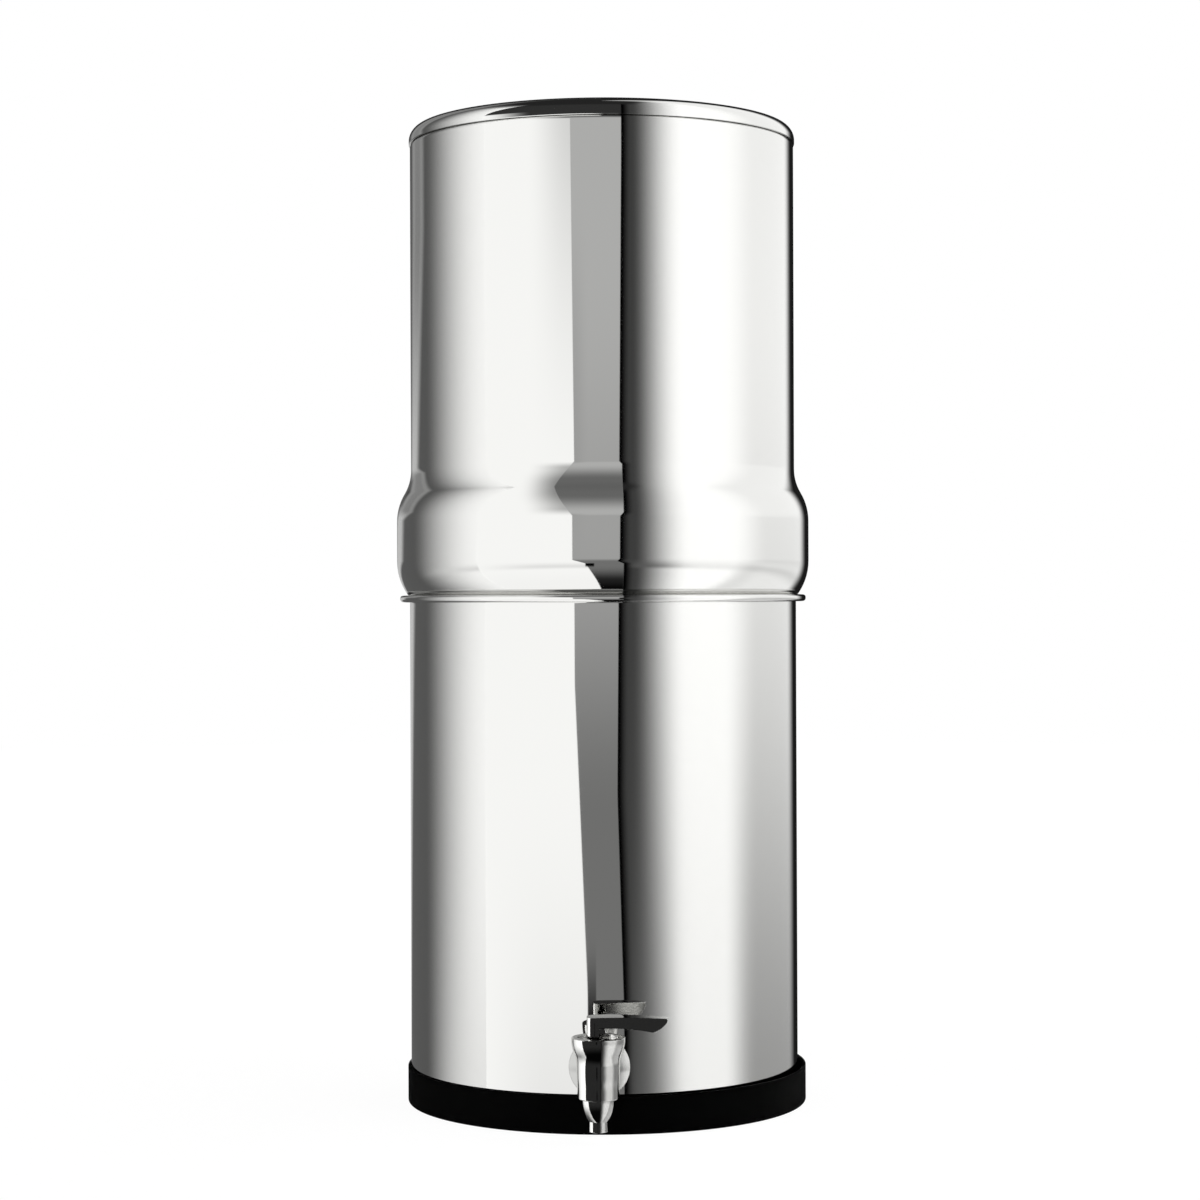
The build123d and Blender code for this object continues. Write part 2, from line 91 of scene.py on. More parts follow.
def add_node(
    tree: NodeTree, kind: str, inputs: dict[int | str, Source] | None = None, **settings: object
) -> Node:
    """Adds a shader node with its settings and its inputs, which are values or what to link.

    Args:
        tree: the node tree that takes it.
        kind: the node's type, without the prefix that shader nodes share.
        inputs: values, sockets, or nodes whose first output is meant, by the input's name or number.
        **settings: the node's own properties.

    Returns:
        The new node.
    """
    made = tree.nodes.new("ShaderNode" + kind)
    for key, value in settings.items():
        setattr(made, key, value)
    for key, value in (inputs or {}).items():
        if isinstance(value, Node):
            value = value.outputs[0]
        if isinstance(value, NodeSocket):
            tree.links.new(value, made.inputs[key])
        else:
            made.inputs[key].default_value = value
    return made


def new_material(name: str) -> tuple[Material, NodeTree]:
    """Starts a material with an empty node tree.

    Args:
        name: the finish's name.

    Returns:
        The material and its tree.
    """
    made = bpy.data.materials.new(name)
    made.use_nodes = True
    made.node_tree.nodes.clear()
    return made, made.node_tree


# Finishes


@dataclass(frozen=True)
class PolishedSteel:
    """Stainless steel, polished: sharp reflections, softened a little along the polishing lines."""

    name: str
    colour: str
    roughness: float
    grain: Grain
    line_mm: float
    depth_mm: float
    spread: float = 0.25

    def material(self) -> Material:
        """Makes the steel: noise drawn out along the lines varies its roughness and its bump.

        Returns:
            The material.
        """
        made, tree = new_material(self.name)
        place = add_node(tree, "TexCoord").outputs["Object"]
        along = add_node(tree, "Mapping", {"Vector": place, "Scale": self.grain.value})
        scale = 1 / (self.line_mm * MM)
        lines = add_node(tree, "TexNoise", {"Vector": along, "Scale": scale, "Detail": 3.0, "Roughness": 0.6})
        low, high = self.roughness * (1 - self.spread), self.roughness * (1 + self.spread)
        haze = add_node(tree, "MapRange", {"Value": lines, "To Min": low, "To Max": high})
        bump = add_node(tree, "Bump", {"Height": lines, "Strength": 1.0, "Distance": self.depth_mm * MM})
        steel = add_node(
            tree,
            "BsdfPrincipled",
            {"Base Color": linear(self.colour), "Metallic": 1.0, "Roughness": haze, "Normal": bump},
        )
        add_node(tree, "OutputMaterial", {0: steel})
        return made


@dataclass(frozen=True)
class SoftSolid:
    """Rubber, silicone, carbon or moulded plastic: a plain colour with fine mottling and a fine skin."""

    name: str
    colour: str
    second_colour: str
    roughness: float
    patch_mm: float
    skin_mm: float
    skin_depth_mm: float
    ior: float
    spread: float = 0.15

    def material(self) -> Material:
        """Makes the solid: slow noise mottles its colour and fine noise roughens its skin.

        Returns:
            The material.
        """
        made, tree = new_material(self.name)
        place = add_node(tree, "TexCoord").outputs["Object"]
        slow, fine = 1 / (self.patch_mm * MM), 1 / (self.skin_mm * MM)
        patches = add_node(tree, "TexNoise", {"Vector": place, "Scale": slow, "Detail": 3.0})
        skin = add_node(tree, "TexNoise", {"Vector": place, "Scale": fine, "Detail": 2.0})
        tint = add_node(
            tree, "Mix", {0: patches, 6: linear(self.colour), 7: linear(self.second_colour)}, data_type="RGBA"
        )
        low, high = self.roughness * (1 - self.spread), min(1.0, self.roughness * (1 + self.spread))
        haze = add_node(tree, "MapRange", {"Value": patches, "To Min": low, "To Max": high})
        bump = add_node(tree, "Bump", {"Height": skin, "Strength": 0.6, "Distance": self.skin_depth_mm * MM})
        body = add_node(
            tree,
            "BsdfPrincipled",
            {"Base Color": tint.outputs[2], "Roughness": haze, "IOR": self.ior, "Normal": bump},
        )
        add_node(tree, "OutputMaterial", {0: body})
        return made


# Sheet stainless 304, buffed to a mirror round the chamber: near-white metal. Real buffing lines are too
# fine to show, so they are drawn 0.9 mm apart, where they only soften the mirror images
TANK_STEEL = PolishedSteel("mirror_buffed_stainless_sheet", "#D8D8D6", 0.03, Grain.AROUND, 0.9, 0.00012)
# Cast stainless, tumbled and polished: a little darker than the sheet, with the soft waves of a cast skin
TAP_STEEL = PolishedSteel("polished_cast_stainless", "#B6B6B4", 0.04, Grain.CAST, 1.2, 0.0003)
# Stainless as it leaves the lathe and the die: satin, with turning lines
TURNED_STEEL = PolishedSteel("turned_satin_stainless", "#BDBDBB", 0.28, Grain.AROUND, 0.35, 0.002)
# Moulded rubber: deep black and dry. The low IOR matches the photograph, where it shows hardly any light
RING_RUBBER = SoftSolid("moulded_black_rubber", "#020202", "#050505", 0.6, 14.0, 0.6, 0.02, 1.07)
# Nitrile rubber: black with a dull sheen
SEAL_RUBBER = SoftSolid("nitrile_seal_rubber", "#0C0C0C", "#141414", 0.5, 6.0, 0.4, 0.01, 1.52)
# Silicone: milky white with a soft skin
SILICONE = SoftSolid("moulded_milky_silicone", "#D9D8D2", "#E4E3DE", 0.42, 8.0, 0.5, 0.01, 1.41)
# Pressed carbon: charcoal with coarse grit
CARBON = SoftSolid("pressed_carbon_block", "#161617", "#262628", 0.9, 1.4, 0.7, 0.18, 1.5)
# Moulded polypropylene, black and white: satin, with the faint texture of the mould
BLACK_PLASTIC = SoftSolid("moulded_black_polypropylene", "#18181A", "#1E1E20", 0.38, 10.0, 0.4, 0.01, 1.49)
WHITE_PLASTIC = SoftSolid("moulded_white_polypropylene", "#DADBD9", "#E2E3E1", 0.36, 10.0, 0.4, 0.01, 1.49)


# Shapes


class Trace:
    """A section's outline, walked like a pen with straight steps and tangent turns, the solid on its left.

    Each point keeps the outward normal of its own step, so that a mirror finish shows arcs as arcs and
    flats as flats.
    """

    def __init__(self, start: tuple[float, float], heading: float) -> None:
        """Puts the pen down.

        Args:
            start: radius and height in millimetres.
            heading: degrees from the radius towards the height.
        """
        self.at = np.array(start, dtype=float)
        self.heading = math.radians(heading)
        self.points: list[np.ndarray] = []
        self.normals: list[np.ndarray] = []

    def ahead(self, length: float, cuts: int = 1) -> "Trace":
        """Walks straight on: point = start + step * heading, and the normal is the right hand.

        Args:
            length: millimetres.
            cuts: number of pieces that the step is cut into.

        Returns:
            The trace.
        """
        if length > SHORTEST_STEP:
            forward = np.array([math.cos(self.heading), math.sin(self.heading)])
            right = np.array([forward[1], -forward[0]])
            steps = np.linspace(0, length, cuts + 1)[:, None]
            self.points.append(self.at + steps * forward)
            self.normals.append(np.repeat(right[None, :], cuts + 1, axis=0))
            self.at = self.points[-1][-1]
        return self

    def turn(self, radius: float, degrees: float, cuts: int = 0) -> "Trace":
        """Walks an arc: point = centre + side * radius * right hand, with left turns positive.

        Args:
            radius: millimetres.
            degrees: how far the heading turns.
            cuts: number of chords, or 0 to choose them from the angle.

        Returns:
            The trace.
        """
        side = math.copysign(1.0, degrees)
        left = np.array([-math.sin(self.heading), math.cos(self.heading)])
        centre = self.at + side * radius * left
        cuts = cuts or max(3, math.ceil(abs(degrees) / 5))
        angles = self.heading + np.linspace(0, math.radians(degrees), cuts + 1)
        right = np.stack([np.sin(angles), -np.cos(angles)], axis=1)
        self.points.append(centre + side * radius * right)
        self.normals.append(right)
        self.at = self.points[-1][-1]
        self.heading = angles[-1]
        return self

    def walk(self, steps: list[tuple[float, ...]]) -> "Trace":
        """Walks a list of steps.

        Args:
            steps: one number is a length, and two are a radius and a turn in degrees.

        Returns:
            The trace.
        """
        for step in steps:
            if len(step) == 1:
                self.ahead(step[0])
            else:
                self.turn(*step)
        return self

    def walk_back(self, steps: list[tuple[float, ...]], wall: float) -> "Trace":
        """Walks the same steps in reverse on the other face of a sheet whose wall lies to their left.

        Args:
            steps: the steps as they were walked on the first face.
            wall: the sheet's thickness in millimetres.

        Returns:
            The trace.
        """
        for step in reversed(steps):
            if len(step) == 1:
                self.ahead(step[0])
            else:
                radius, degrees = step
                self.turn(radius - math.copysign(wall, degrees), -degrees)
        return self

    def to(self, *points: tuple[float, float]) -> "Trace":
        """Walks straight from point to point, and heads on the way that the last one lies.

        Args:
            *points: radii and heights in millimetres.

        Returns:
            The trace.
        """
        for point in points:
            gap = np.array(point) - self.at
            self.heading = math.atan2(gap[1], gap[0])
            self.ahead(float(np.hypot(*gap)))
        return self

    def heads(self, heading: float) -> "Trace":
        """Turns the pen on the spot to a heading in degrees."""
        self.heading = math.radians(heading)
        return self


@dataclass
class Surface:
    """A closed surface as plain arrays: points, faces, and the normal at each corner of each face."""

    points: np.ndarray
    faces: list[list[int]]
    corners: np.ndarray | None = None

    def joined(self, other: "Surface") -> "Surface":
        """Puts two surfaces into one, with the second one's faces counted after the first one's points.

        Args:
            other: the second surface, which has corner normals as this one does.

        Returns:
            The joined surface.
        """
        faces = self.faces + [[index + len(self.points) for index in face] for face in other.faces]
        points = np.vstack([self.points, other.points])
        return Surface(points, faces, np.vstack([self.corners, other.corners]))

    def piece(self, name: str, body: Body, nodes: tuple[str, ...], slot: str, finish: Material) -> Object:
        """Makes the surface an object that stands for its CAD nodes and rides on their body.

        Args:
            name: the object's name.
            body: the body that it moves with.
            nodes: the CAD nodes that it stands for.
            slot: the record's material slot; not used.
            finish: its material.

        Returns:
            The object.
        """
        mesh = bpy.data.meshes.new(name)
        mesh.from_pydata((self.points * MM).tolist(), [], self.faces)
        mesh.polygons.foreach_set("use_smooth", np.ones(len(mesh.polygons), dtype=bool))
        mesh.materials.append(finish)
        mesh.update()
        if self.corners is not None:
            mesh.normals_split_custom_set(self.corners.tolist())
        else:
            mesh.set_sharp_from_angle(angle=SHARP_ANGLE)
        made = bpy.data.objects.new(name, mesh)
        bpy.context.scene.collection.objects.link(made)
        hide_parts(*nodes)
        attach(made, body.value)
        log.info("%s: %d faces, on %s", name, len(mesh.polygons), body.value)
        return made


def revolved(
    trace: Trace,
    cuts: int,
    origin: tuple[float, float, float] = (0.0, 0.0, 0.0),
    axis: tuple[float, float, float] = (0.0, 0.0, 1.0),
) -> Surface:
    """Turns an outline about an axis.

    A point (r, h) goes to origin + r cos(a) X + r sin(a) Y + h Z, where Z is the axis and a goes once
    round. Its normal turns with it. A point on the axis is one pole.

    Args:
        trace: the outline, closed or with both ends on the axis.
        cuts: number of steps around.
        origin: a point on the axis in millimetres.
        axis: the axis's direction.

    Returns:
        The surface.
    """
    outline = [trace.points[0][:1]]
    starts, ends, before, after = [], [], [], []
    count = 1
    for points, normals in zip(trace.points, trace.normals):
        outline.append(points[1:])
        starts.append(np.arange(count - 1, count + len(points) - 2))
        ends.append(np.arange(count, count + len(points) - 1))
        before.append(normals[:-1])
        after.append(normals[1:])
        count += len(points) - 1
    outline = np.vstack(outline)
    starts, ends = np.concatenate(starts), np.concatenate(ends)
    before, after = np.vstack(before), np.vstack(after)
    if np.hypot(*(outline[-1] - outline[0])) < SAME_PLACE:
        outline = outline[:-1]
        ends[ends == len(outline)] = 0
    pole = outline[:, 0] < SAME_PLACE
    first = np.concatenate([[0], np.cumsum(np.where(pole, 1, cuts))[:-1]])
    angles = np.linspace(0, 2 * math.pi, cuts, endpoint=False)
    z_axis = np.array(axis, dtype=float) / np.linalg.norm(axis)
    helper = np.array([1.0, 0.0, 0.0]) if abs(z_axis[0]) < 0.5 else np.array([0.0, 1.0, 0.0])
    y_axis = np.cross(z_axis, helper)
    y_axis /= np.linalg.norm(y_axis)
    x_axis = np.cross(y_axis, z_axis)
    rounds = np.cos(angles)[:, None] * x_axis + np.sin(angles)[:, None] * y_axis
    rings = [
        (h * z_axis)[None, :] if on_axis else r * rounds + h * z_axis
        for (r, h), on_axis in zip(outline, pole)
    ]
    here = np.arange(cuts)
    there = (here + 1) % cuts
    faces: list[list[int]] = []
    corners: list[np.ndarray] = []
    for a, b, na, nb in zip(starts, ends, before, after):
        low = na[0] * rounds + na[1] * z_axis
        high = nb[0] * rounds + nb[1] * z_axis
        if pole[a] and pole[b]:
            continue
        if pole[a]:
            quads = np.stack([np.full(cuts, first[a]), first[b] + there, first[b] + here], axis=1)
            shade = np.stack([(low + low[there]) / 2, high[there], high[here]], axis=1)
        elif pole[b]:
            quads = np.stack([first[a] + here, first[a] + there, np.full(cuts, first[b])], axis=1)
            shade = np.stack([low[here], low[there], (high + high[there]) / 2], axis=1)
        else:
            quads = np.stack([first[a] + here, first[a] + there, first[b] + there, first[b] + here], axis=1)
            shade = np.stack([low[here], low[there], high[there], high[here]], axis=1)
        faces += quads.tolist()
        corners.append(shade.reshape(-1, 3))
    points = np.vstack(rings) + np.array(origin, dtype=float)
    return Surface(points, faces, np.vstack(corners))


def lofted(sections: np.ndarray) -> Surface:
    """Skins closed loops of equal length one after the other, and closes both ends.

    Args:
        sections: loops by points by x, y, z in millimetres.

    Returns:
        The surface, with its faces pointing outwards.
    """
    loops, size, _ = sections.shape
    points = sections.reshape(-1, 3)
    here = np.arange(size)
    there = (here + 1) % size
    rows = (np.arange(loops - 1) * size)[:, None]
    quads = np.stack([rows + here, rows + there, rows + size + there, rows + size + here], axis=2)
    faces = quads.reshape(-1, 4).tolist()
    faces.append(list(range(size))[::-1])
    faces.append(list(range((loops - 1) * size, loops * size)))
    a, b, c = (points[[face[k] for face in faces[:-2]]] for k in (0, 1, 2))
    d = points[[face[3] for face in faces[:-2]]]
    volume = np.einsum("ij,ij->", a, np.cross(b, c)) + np.einsum("ij,ij->", a, np.cross(c, d))
    for face in faces[-2:]:
        ring = points[face]
        volume += np.einsum("ij,ij->", np.repeat(ring[:1], size - 2, axis=0), np.cross(ring[1:-1], ring[2:]))
    if volume < 0:
        faces = [face[::-1] for face in faces]
    return Surface(points, faces)


def grid_faces(rows: int, columns: int) -> list[list[int]]:
    """Joins the points of a grid, counted row by row, into four-sided faces."""
    low = (np.arange(rows - 1)[:, None] * columns + np.arange(columns - 1)).ravel()
    return np.stack([low, low + 1, low + columns + 1, low + columns], axis=1).tolist()


def eased(start: float, run: float, count: int, slow_start: bool) -> np.ndarray:
    """Places along a quarter turn: start + run (1 - cos a), or start + run sin a with a slow end.

    Args:
        start: the first place.
        run: how far the last place is.
        count: number of places.
        slow_start: whether they are close together at the start and not at the end.

    Returns:
        The places.
    """
    quarter = np.linspace(0, math.pi / 2, count)
    return start + run * ((1 - np.cos(quarter)) if slow_start else np.sin(quarter))


def arc_height(radius: float, away: np.ndarray) -> np.ndarray:
    """Height of a circle over its middle line: sqrt(R^2 - d^2), and 0 outside it."""
    return np.sqrt(np.clip(radius**2 - away**2, 0, None))


# Pieces


@dataclass
class LowerChamber:
    """The lower chamber: a drawn tank with a rim rolled outwards, on its rubber ring."""

    steel: Material
    rubber: Material
    radius: float = 112.5
    floor: float = 3.0
    height: float = 290.4
    sheet: float = 0.8
    corner: float = 6.0
    rim_reach: float = 5.65
    rim_height: float = 4.1
    rim_rounds: tuple[float, float, float] = (3.8, 0.8, 1.0)
    rim_gap: float = 0.5
    cuts: int = 256
    flange_radius: float = 16.7
    flange_height: float = 37.0
    relief: float = 1.2
    ring_height: float = 21.1
    ring_wall: float = 1.75
    ring_slack: float = 1.5
    ring_shift: float = 1.4
    ring_lip: float = 3.0
    ring_lip_width: float = 14.0
    ring_foot: float = 1.2
    ring_crown: float = 0.75
    ring_edge: float = 0.5

    def tank(self) -> None:
        """Draws the tank's outer face from the axis to the rolled edge, and its inner face back."""
        top = self.floor + self.height - self.sheet
        inner, outer, lower = self.rim_rounds
        wall = self.sheet
        skin = [
            (self.radius - self.corner,),
            (self.corner, 90.0),
            (top - self.floor - self.corner - inner,),
            (inner, -90.0),
            (self.rim_reach - wall - inner - outer,),
            (outer, -90.0),
            (self.rim_height - 2 * wall - outer - lower,),
            (lower, -90.0),
            (self.rim_reach - wall - lower - self.rim_gap,),
        ]
        trace = Trace((0.0, self.floor), 0.0).walk(skin).turn(wall / 2, 180.0, 8).walk_back(skin, wall)
        made = revolved(trace, self.cuts)
        made.piece("lower_shell", Body.LOWER, ("lower_chamber",), "tank_steel", self.steel)

    def ring(self) -> None:
        """Draws the ring's L-shaped section, then lowers its top edge behind the tap's flange.

        The relief is the circle z = flange height - sqrt(R^2 - x^2), with R the flange and its clearance.
        """
        inner = self.radius + self.ring_slack
        lip = self.radius - self.ring_lip_width
        foot, crown, edge = self.ring_foot, self.ring_crown, self.ring_edge
        trace = Trace((lip + edge, 0.0), 0.0)
        trace.ahead(inner + self.ring_wall - lip - edge - foot).turn(foot, 90.0)
        trace.ahead(self.ring_height - foot - crown, 24).turn(crown, 90.0, 8)
        trace.ahead(self.ring_wall - crown - edge).turn(edge, 90.0, 5)
        trace.ahead(self.ring_height - self.ring_lip - edge, 24).to((inner, self.ring_lip)).heads(180)
        trace.ahead(inner - lip - edge).turn(edge, 90.0, 5)
        trace.ahead(self.ring_lip - 2 * edge).turn(edge, 90.0, 5)
        made = revolved(trace, 360, (self.ring_shift, 0.0, 0.0))
        x, y, z = made.points.T
        reach = self.flange_radius + self.relief
        near = (np.abs(x) < reach) & (y < 0)
        ceiling = np.where(near, self.flange_height - arc_height(reach, x), np.inf)
        made.points[:, 2] = np.minimum(z, ceiling)
        made.piece("rubber_ring", Body.LOWER, ("base_ring",), "ring_rubber", self.rubber)


@dataclass
class UpperChamber:
    """The upper chamber: a spigot that nests in the lower one, a bulge, a shoulder and a rolled edge."""

    steel: Material
    radius: float = 111.65
    floor: float = 268.1
    sheet: float = 0.8
    spigot_radius: float = 109.1
    spigot_height: float = 20.2
    spigot_corner: float = 9.0
    neck_round: float = 3.0
    bulge_radius: float = 119.9
    bulge_turn: float = 33.5
    bulge_height: float = 23.0
    shoulder_turns: tuple[float, float] = (32.0, 27.0)
    wall_height: float = 186.9
    curl: float = 3.0
    curl_turn: float = 250.0
    cuts: int = 256

    def tank(self) -> Object:
        """Draws the outer face from the axis up to the curl, and the inner face back.

        The flare under the bulge rises at 45 degrees. The shoulder's angle is acos(1 - step / (r1 + r2)),
        so that two tangent arcs cover the step in radius from the bulge to the wall.

        Returns:
            The chamber.
        """
        tangent = math.tan(math.radians(22.5))
        out, back = self.shoulder_turns
        slope = math.degrees(math.acos(1 - (self.bulge_radius - self.radius) / (out + back)))
        flare = (self.bulge_radius - self.spigot_radius) * math.sqrt(2)
        skin = [
            (self.spigot_radius - self.spigot_corner,),
            (self.spigot_corner, 90.0),
            (self.spigot_height - self.spigot_corner - self.neck_round * tangent,),
            (self.neck_round, -45.0),
            (flare - (self.neck_round + self.bulge_turn) * tangent,),
            (self.bulge_turn, 45.0),
            (self.bulge_height,),
            (out, slope),
            (back, -slope),
            (self.wall_height,),
            (self.curl, self.curl_turn),
        ]
        wall = self.sheet
        trace = Trace((0.0, self.floor), 0.0).walk(skin).turn(wall / 2, 180.0, 8).walk_back(skin, wall)
        made = revolved(trace, self.cuts)
        return made.piece("upper_shell", Body.UPPER, ("upper_chamber",), "tank_steel", self.steel)


@dataclass
class Lid:
    """The lid: a shallow dome with a rounded shoulder and a hem that drops over the chamber's curl."""

    steel: Material
    radius: float = 112.3
    bottom: float = 554.96
    sheet: float = 0.8
    skirt: float = 2.3
    shoulder: float = 8.0
    dome_angle: float = 3.3
    hem: float = 0.5
    hem_height: float = 2.0
    edge: float = 0.4
    crease: float = 0.1
    fold: float = 0.2
    cuts: int = 256

    def shell(self) -> Object:
        """Draws the outer face from the hem over the dome to the axis, the inner face back, and the hem.

        Returns:
            The lid.
        """
        edge, wall = self.edge, self.sheet
        turn = 90.0 - self.dome_angle
        reach = self.radius - self.shoulder * (1 - math.cos(math.radians(turn)))
        dome = reach / math.sin(math.radians(self.dome_angle))
        trace = Trace((self.radius, self.bottom + edge), 90.0).ahead(self.skirt - edge)
        trace.turn(self.shoulder, turn, 40).turn(dome, self.dome_angle, 24)
        trace.at = np.array([0.0, trace.at[1]])
        crown = trace.at[1]
        under = Trace((0.0, crown - wall), 0.0).turn(dome - wall, -self.dome_angle, 24)
        under.turn(self.shoulder - wall, -turn, 24).ahead(self.skirt - self.hem_height)
        under.turn(self.crease, -90.0, 3).ahead(self.hem - self.crease - self.fold).turn(self.fold, 90.0, 3)
        under.ahead(self.hem_height - self.crease - self.fold - edge).turn(edge, 90.0, 6)
        under.ahead(self.hem + wall - 2 * edge).turn(edge, 90.0, 6)
        trace.points[-1][-1] = (0.0, crown)
        trace.points.append(np.array([[0.0, crown], [0.0, crown - wall]]))
        trace.normals.append(np.array([[0.0, 1.0], [0.0, -1.0]]))
        trace.points += under.points
        trace.normals += under.normals
        return revolved(trace, self.cuts).piece("lid_shell", Body.LID, ("lid",), "lid_steel", self.steel)


@dataclass
class Tap:
    """The tap: a flared bell on a neck, a domed wall flange, a rounded outlet and the bonnet in the bell."""

    steel: Material
    reach: float = 139.0
    height: float = 37.0
    top: float = 57.0
    bottom: float = 24.0
    top_radius: float = 14.5
    waist_radius: float = 11.75
    foot_radius: float = 11.3
    waist: float = 42.0
    flare_turn: float = 16.0
    top_turn: float = 21.5
    side_turn: float = 75.0
    foot: float = 27.0
    bonnet_radius: float = 11.05
    bonnet_bottom: float = 50.6
    bonnet_top: float = 55.6
    stem_bore: float = 2.6
    seal_groove: float = 4.4
    groove_half: float = 1.0
    chamber: float = 8.1
    neck_radius: float = 8.6
    neck_gap: float = 1.0
    shank_radius: float = 7.9
    port: float = 5.0
    flange_face: float = 114.5
    flange_edge: float = 1.2
    flange_front: float = 118.7
    shank_end: float = 99.5
    flange_radius: float = 16.7
    dome_turn: float = 32.0
    outlet_radius: float = 9.15
    outlet_turn: float = 20.0
    outlet_thread: float = 4.0
    spout_radius: float = 5.15
    spout_bore: float = 3.9
    spout_top: float = 12.0
    spout_bottom: float = 6.3
    seat_top: float = 29.2
    seat_radius: float = 5.3
    play: float = 0.05
    fine_edge: float = 0.3
    edge: float = 0.4
    top_edge: float = 0.5
    foot_edge: float = 0.8
    cuts: int = 128
    neck_cuts: int = 96

    def body(self) -> Object:
        """Turns the bell about the tap's own axis, and the neck and the shank about the inlet's.

        Each of the bell's two bends is a pair of tangent arcs, whose angle is acos(1 - step / (r1 + r2)).

        Returns:
            The body.
        """
        fine, top, foot = self.fine_edge, self.top_edge, self.foot_edge
        turn = math.degrees(
            math.acos(1 - (self.top_radius - self.waist_radius) / (self.flare_turn + self.top_turn))
        )
        lean = math.degrees(math.acos(1 - (self.waist_radius - self.foot_radius) / (2 * self.side_turn)))
        rise = 2 * self.side_turn * math.sin(math.radians(lean))
        trace = Trace((self.chamber + fine, self.bottom), 0.0)
        trace.ahead(self.foot_radius - self.chamber - fine - foot).turn(foot, 90.0, 8)
        trace.ahead(self.foot - self.bottom - foot).turn(self.side_turn, -lean, 6)
        trace.turn(self.side_turn, lean, 6).ahead(self.waist - self.foot - rise)
        trace.turn(self.flare_turn, -turn, 10).turn(self.top_turn, turn, 10)
        trace.to((self.top_radius, self.top - top)).heads(90).turn(top, 90.0, 6)
        trace.ahead(self.top_radius - self.bonnet_radius - top - fine).turn(fine, 90.0, 4)
        trace.ahead(self.top - self.bonnet_bottom - fine).to((self.chamber, self.bonnet_bottom)).heads(-90)
        trace.ahead(self.bonnet_bottom - self.bottom - fine).turn(fine, 90.0, 3)
        bell = revolved(trace, self.cuts, (0.0, -self.reach, 0.0))
        end = self.reach - self.chamber - self.neck_gap
        inside = Trace((self.port, self.shank_end), 0.0).ahead(self.shank_radius - self.port - self.edge)
        inside.turn(self.edge, 90.0, 4).ahead(self.flange_front - self.shank_end - 2 * self.edge)
        inside.to((self.neck_radius, self.flange_front), (self.neck_radius, end), (self.port, end))
        inside.to((self.port, self.shank_end))
        neck = revolved(inside, self.neck_cuts, (0.0, 0.0, self.height), (0.0, -1.0, 0.0))
        return bell.joined(neck).piece("tap_bell", Body.LOWER, ("tap_body",), "tap_steel", self.steel)

    def flange(self) -> None:
        """Turns the flange's domed section about the inlet's axis.

        The dome is an arc through its two ends, so its slope changes by 2 asin(chord / 2 turn). It stops
        half a degree early, because its edge's round takes some of it.
        """
        inner = self.shank_radius + self.play
        run = self.flange_radius - inner
        rise = self.flange_front - self.flange_face - self.flange_edge
        half = math.degrees(math.asin(math.hypot(run, rise) / (2 * self.dome_turn)))
        slope = math.degrees(math.atan2(rise, run)) + half
        fine, edge = self.fine_edge, self.edge
        trace = Trace((inner, self.flange_face), 0.0)
        trace.ahead(run - fine).turn(fine, 90.0, 4).ahead(self.flange_edge - fine - edge / 2)
        trace.turn(edge, 90.0 - slope, 8).turn(self.dome_turn, 2 * half - 0.5, 16)
        trace.to((inner, self.flange_front), (inner, self.flange_face))
        made = revolved(trace, self.cuts, (0.0, 0.0, self.height), (0.0, -1.0, 0.0))
        made.piece("tap_flange", Body.LOWER, ("tap_wall_flange",), "tap_steel", self.steel)

    def outlet(self) -> Object:
        """Turns the rounded outlet, its spout and the raised seat about the tap's axis.

        Returns:
            The outlet.
        """
        fine, edge = self.fine_edge, self.top_edge
        drop = math.degrees(math.asin((self.bottom - self.spout_top) / self.outlet_turn))
        thread, ledge, seat = self.chamber - self.play, self.bottom + self.outlet_thread, self.seat_radius
        trace = Trace((self.spout_bore + fine, self.spout_bottom), 0.0)
        trace.ahead(self.spout_radius - self.spout_bore - fine - edge).turn(edge, 90.0, 6)
        trace.to((self.spout_radius, self.spout_top)).heads(90 - drop).turn(self.outlet_turn, drop, 14)
        trace.to((self.outlet_radius, self.bottom), (thread, self.bottom), (thread, ledge))
        trace.to((seat, ledge), (seat, self.seat_top), (self.spout_bore, self.seat_top))
        trace.to((self.spout_bore, self.spout_bottom + fine)).turn(fine, 90.0, 3)
        made = revolved(trace, self.cuts, (0.0, -self.reach, 0.0))
        return made.piece("tap_spout", Body.LOWER, ("tap_outlet",), "tap_steel", self.steel)

    def bonnet(self) -> Object:
        """Turns the bonnet about the tap's axis, with the stem's bore and the seal's groove.

        Returns:
            The bonnet.
        """
        bore, groove, outer = self.stem_bore, self.seal_groove, self.bonnet_radius - self.play
        middle = (self.bonnet_bottom + self.bonnet_top) / 2
        high, low = middle + self.groove_half, middle - self.groove_half
        trace = Trace((bore, self.bonnet_bottom), 0.0).to((outer, self.bonnet_bottom)).heads(90)
        trace.ahead(self.bonnet_top - self.bonnet_bottom - self.edge).turn(self.edge, 90.0, 5)
        trace.ahead(outer - bore - self.edge - self.fine_edge).turn(self.fine_edge, 90.0, 4)
        trace.to((bore, high), (groove, high), (groove, low), (bore, low), (bore, self.bonnet_bottom))
        made = revolved(trace, self.cuts, (0.0, -self.reach, 0.0))
        return made.piece("tap_cap", Body.LOWER, ("tap_bonnet",), "tap_steel", self.steel)


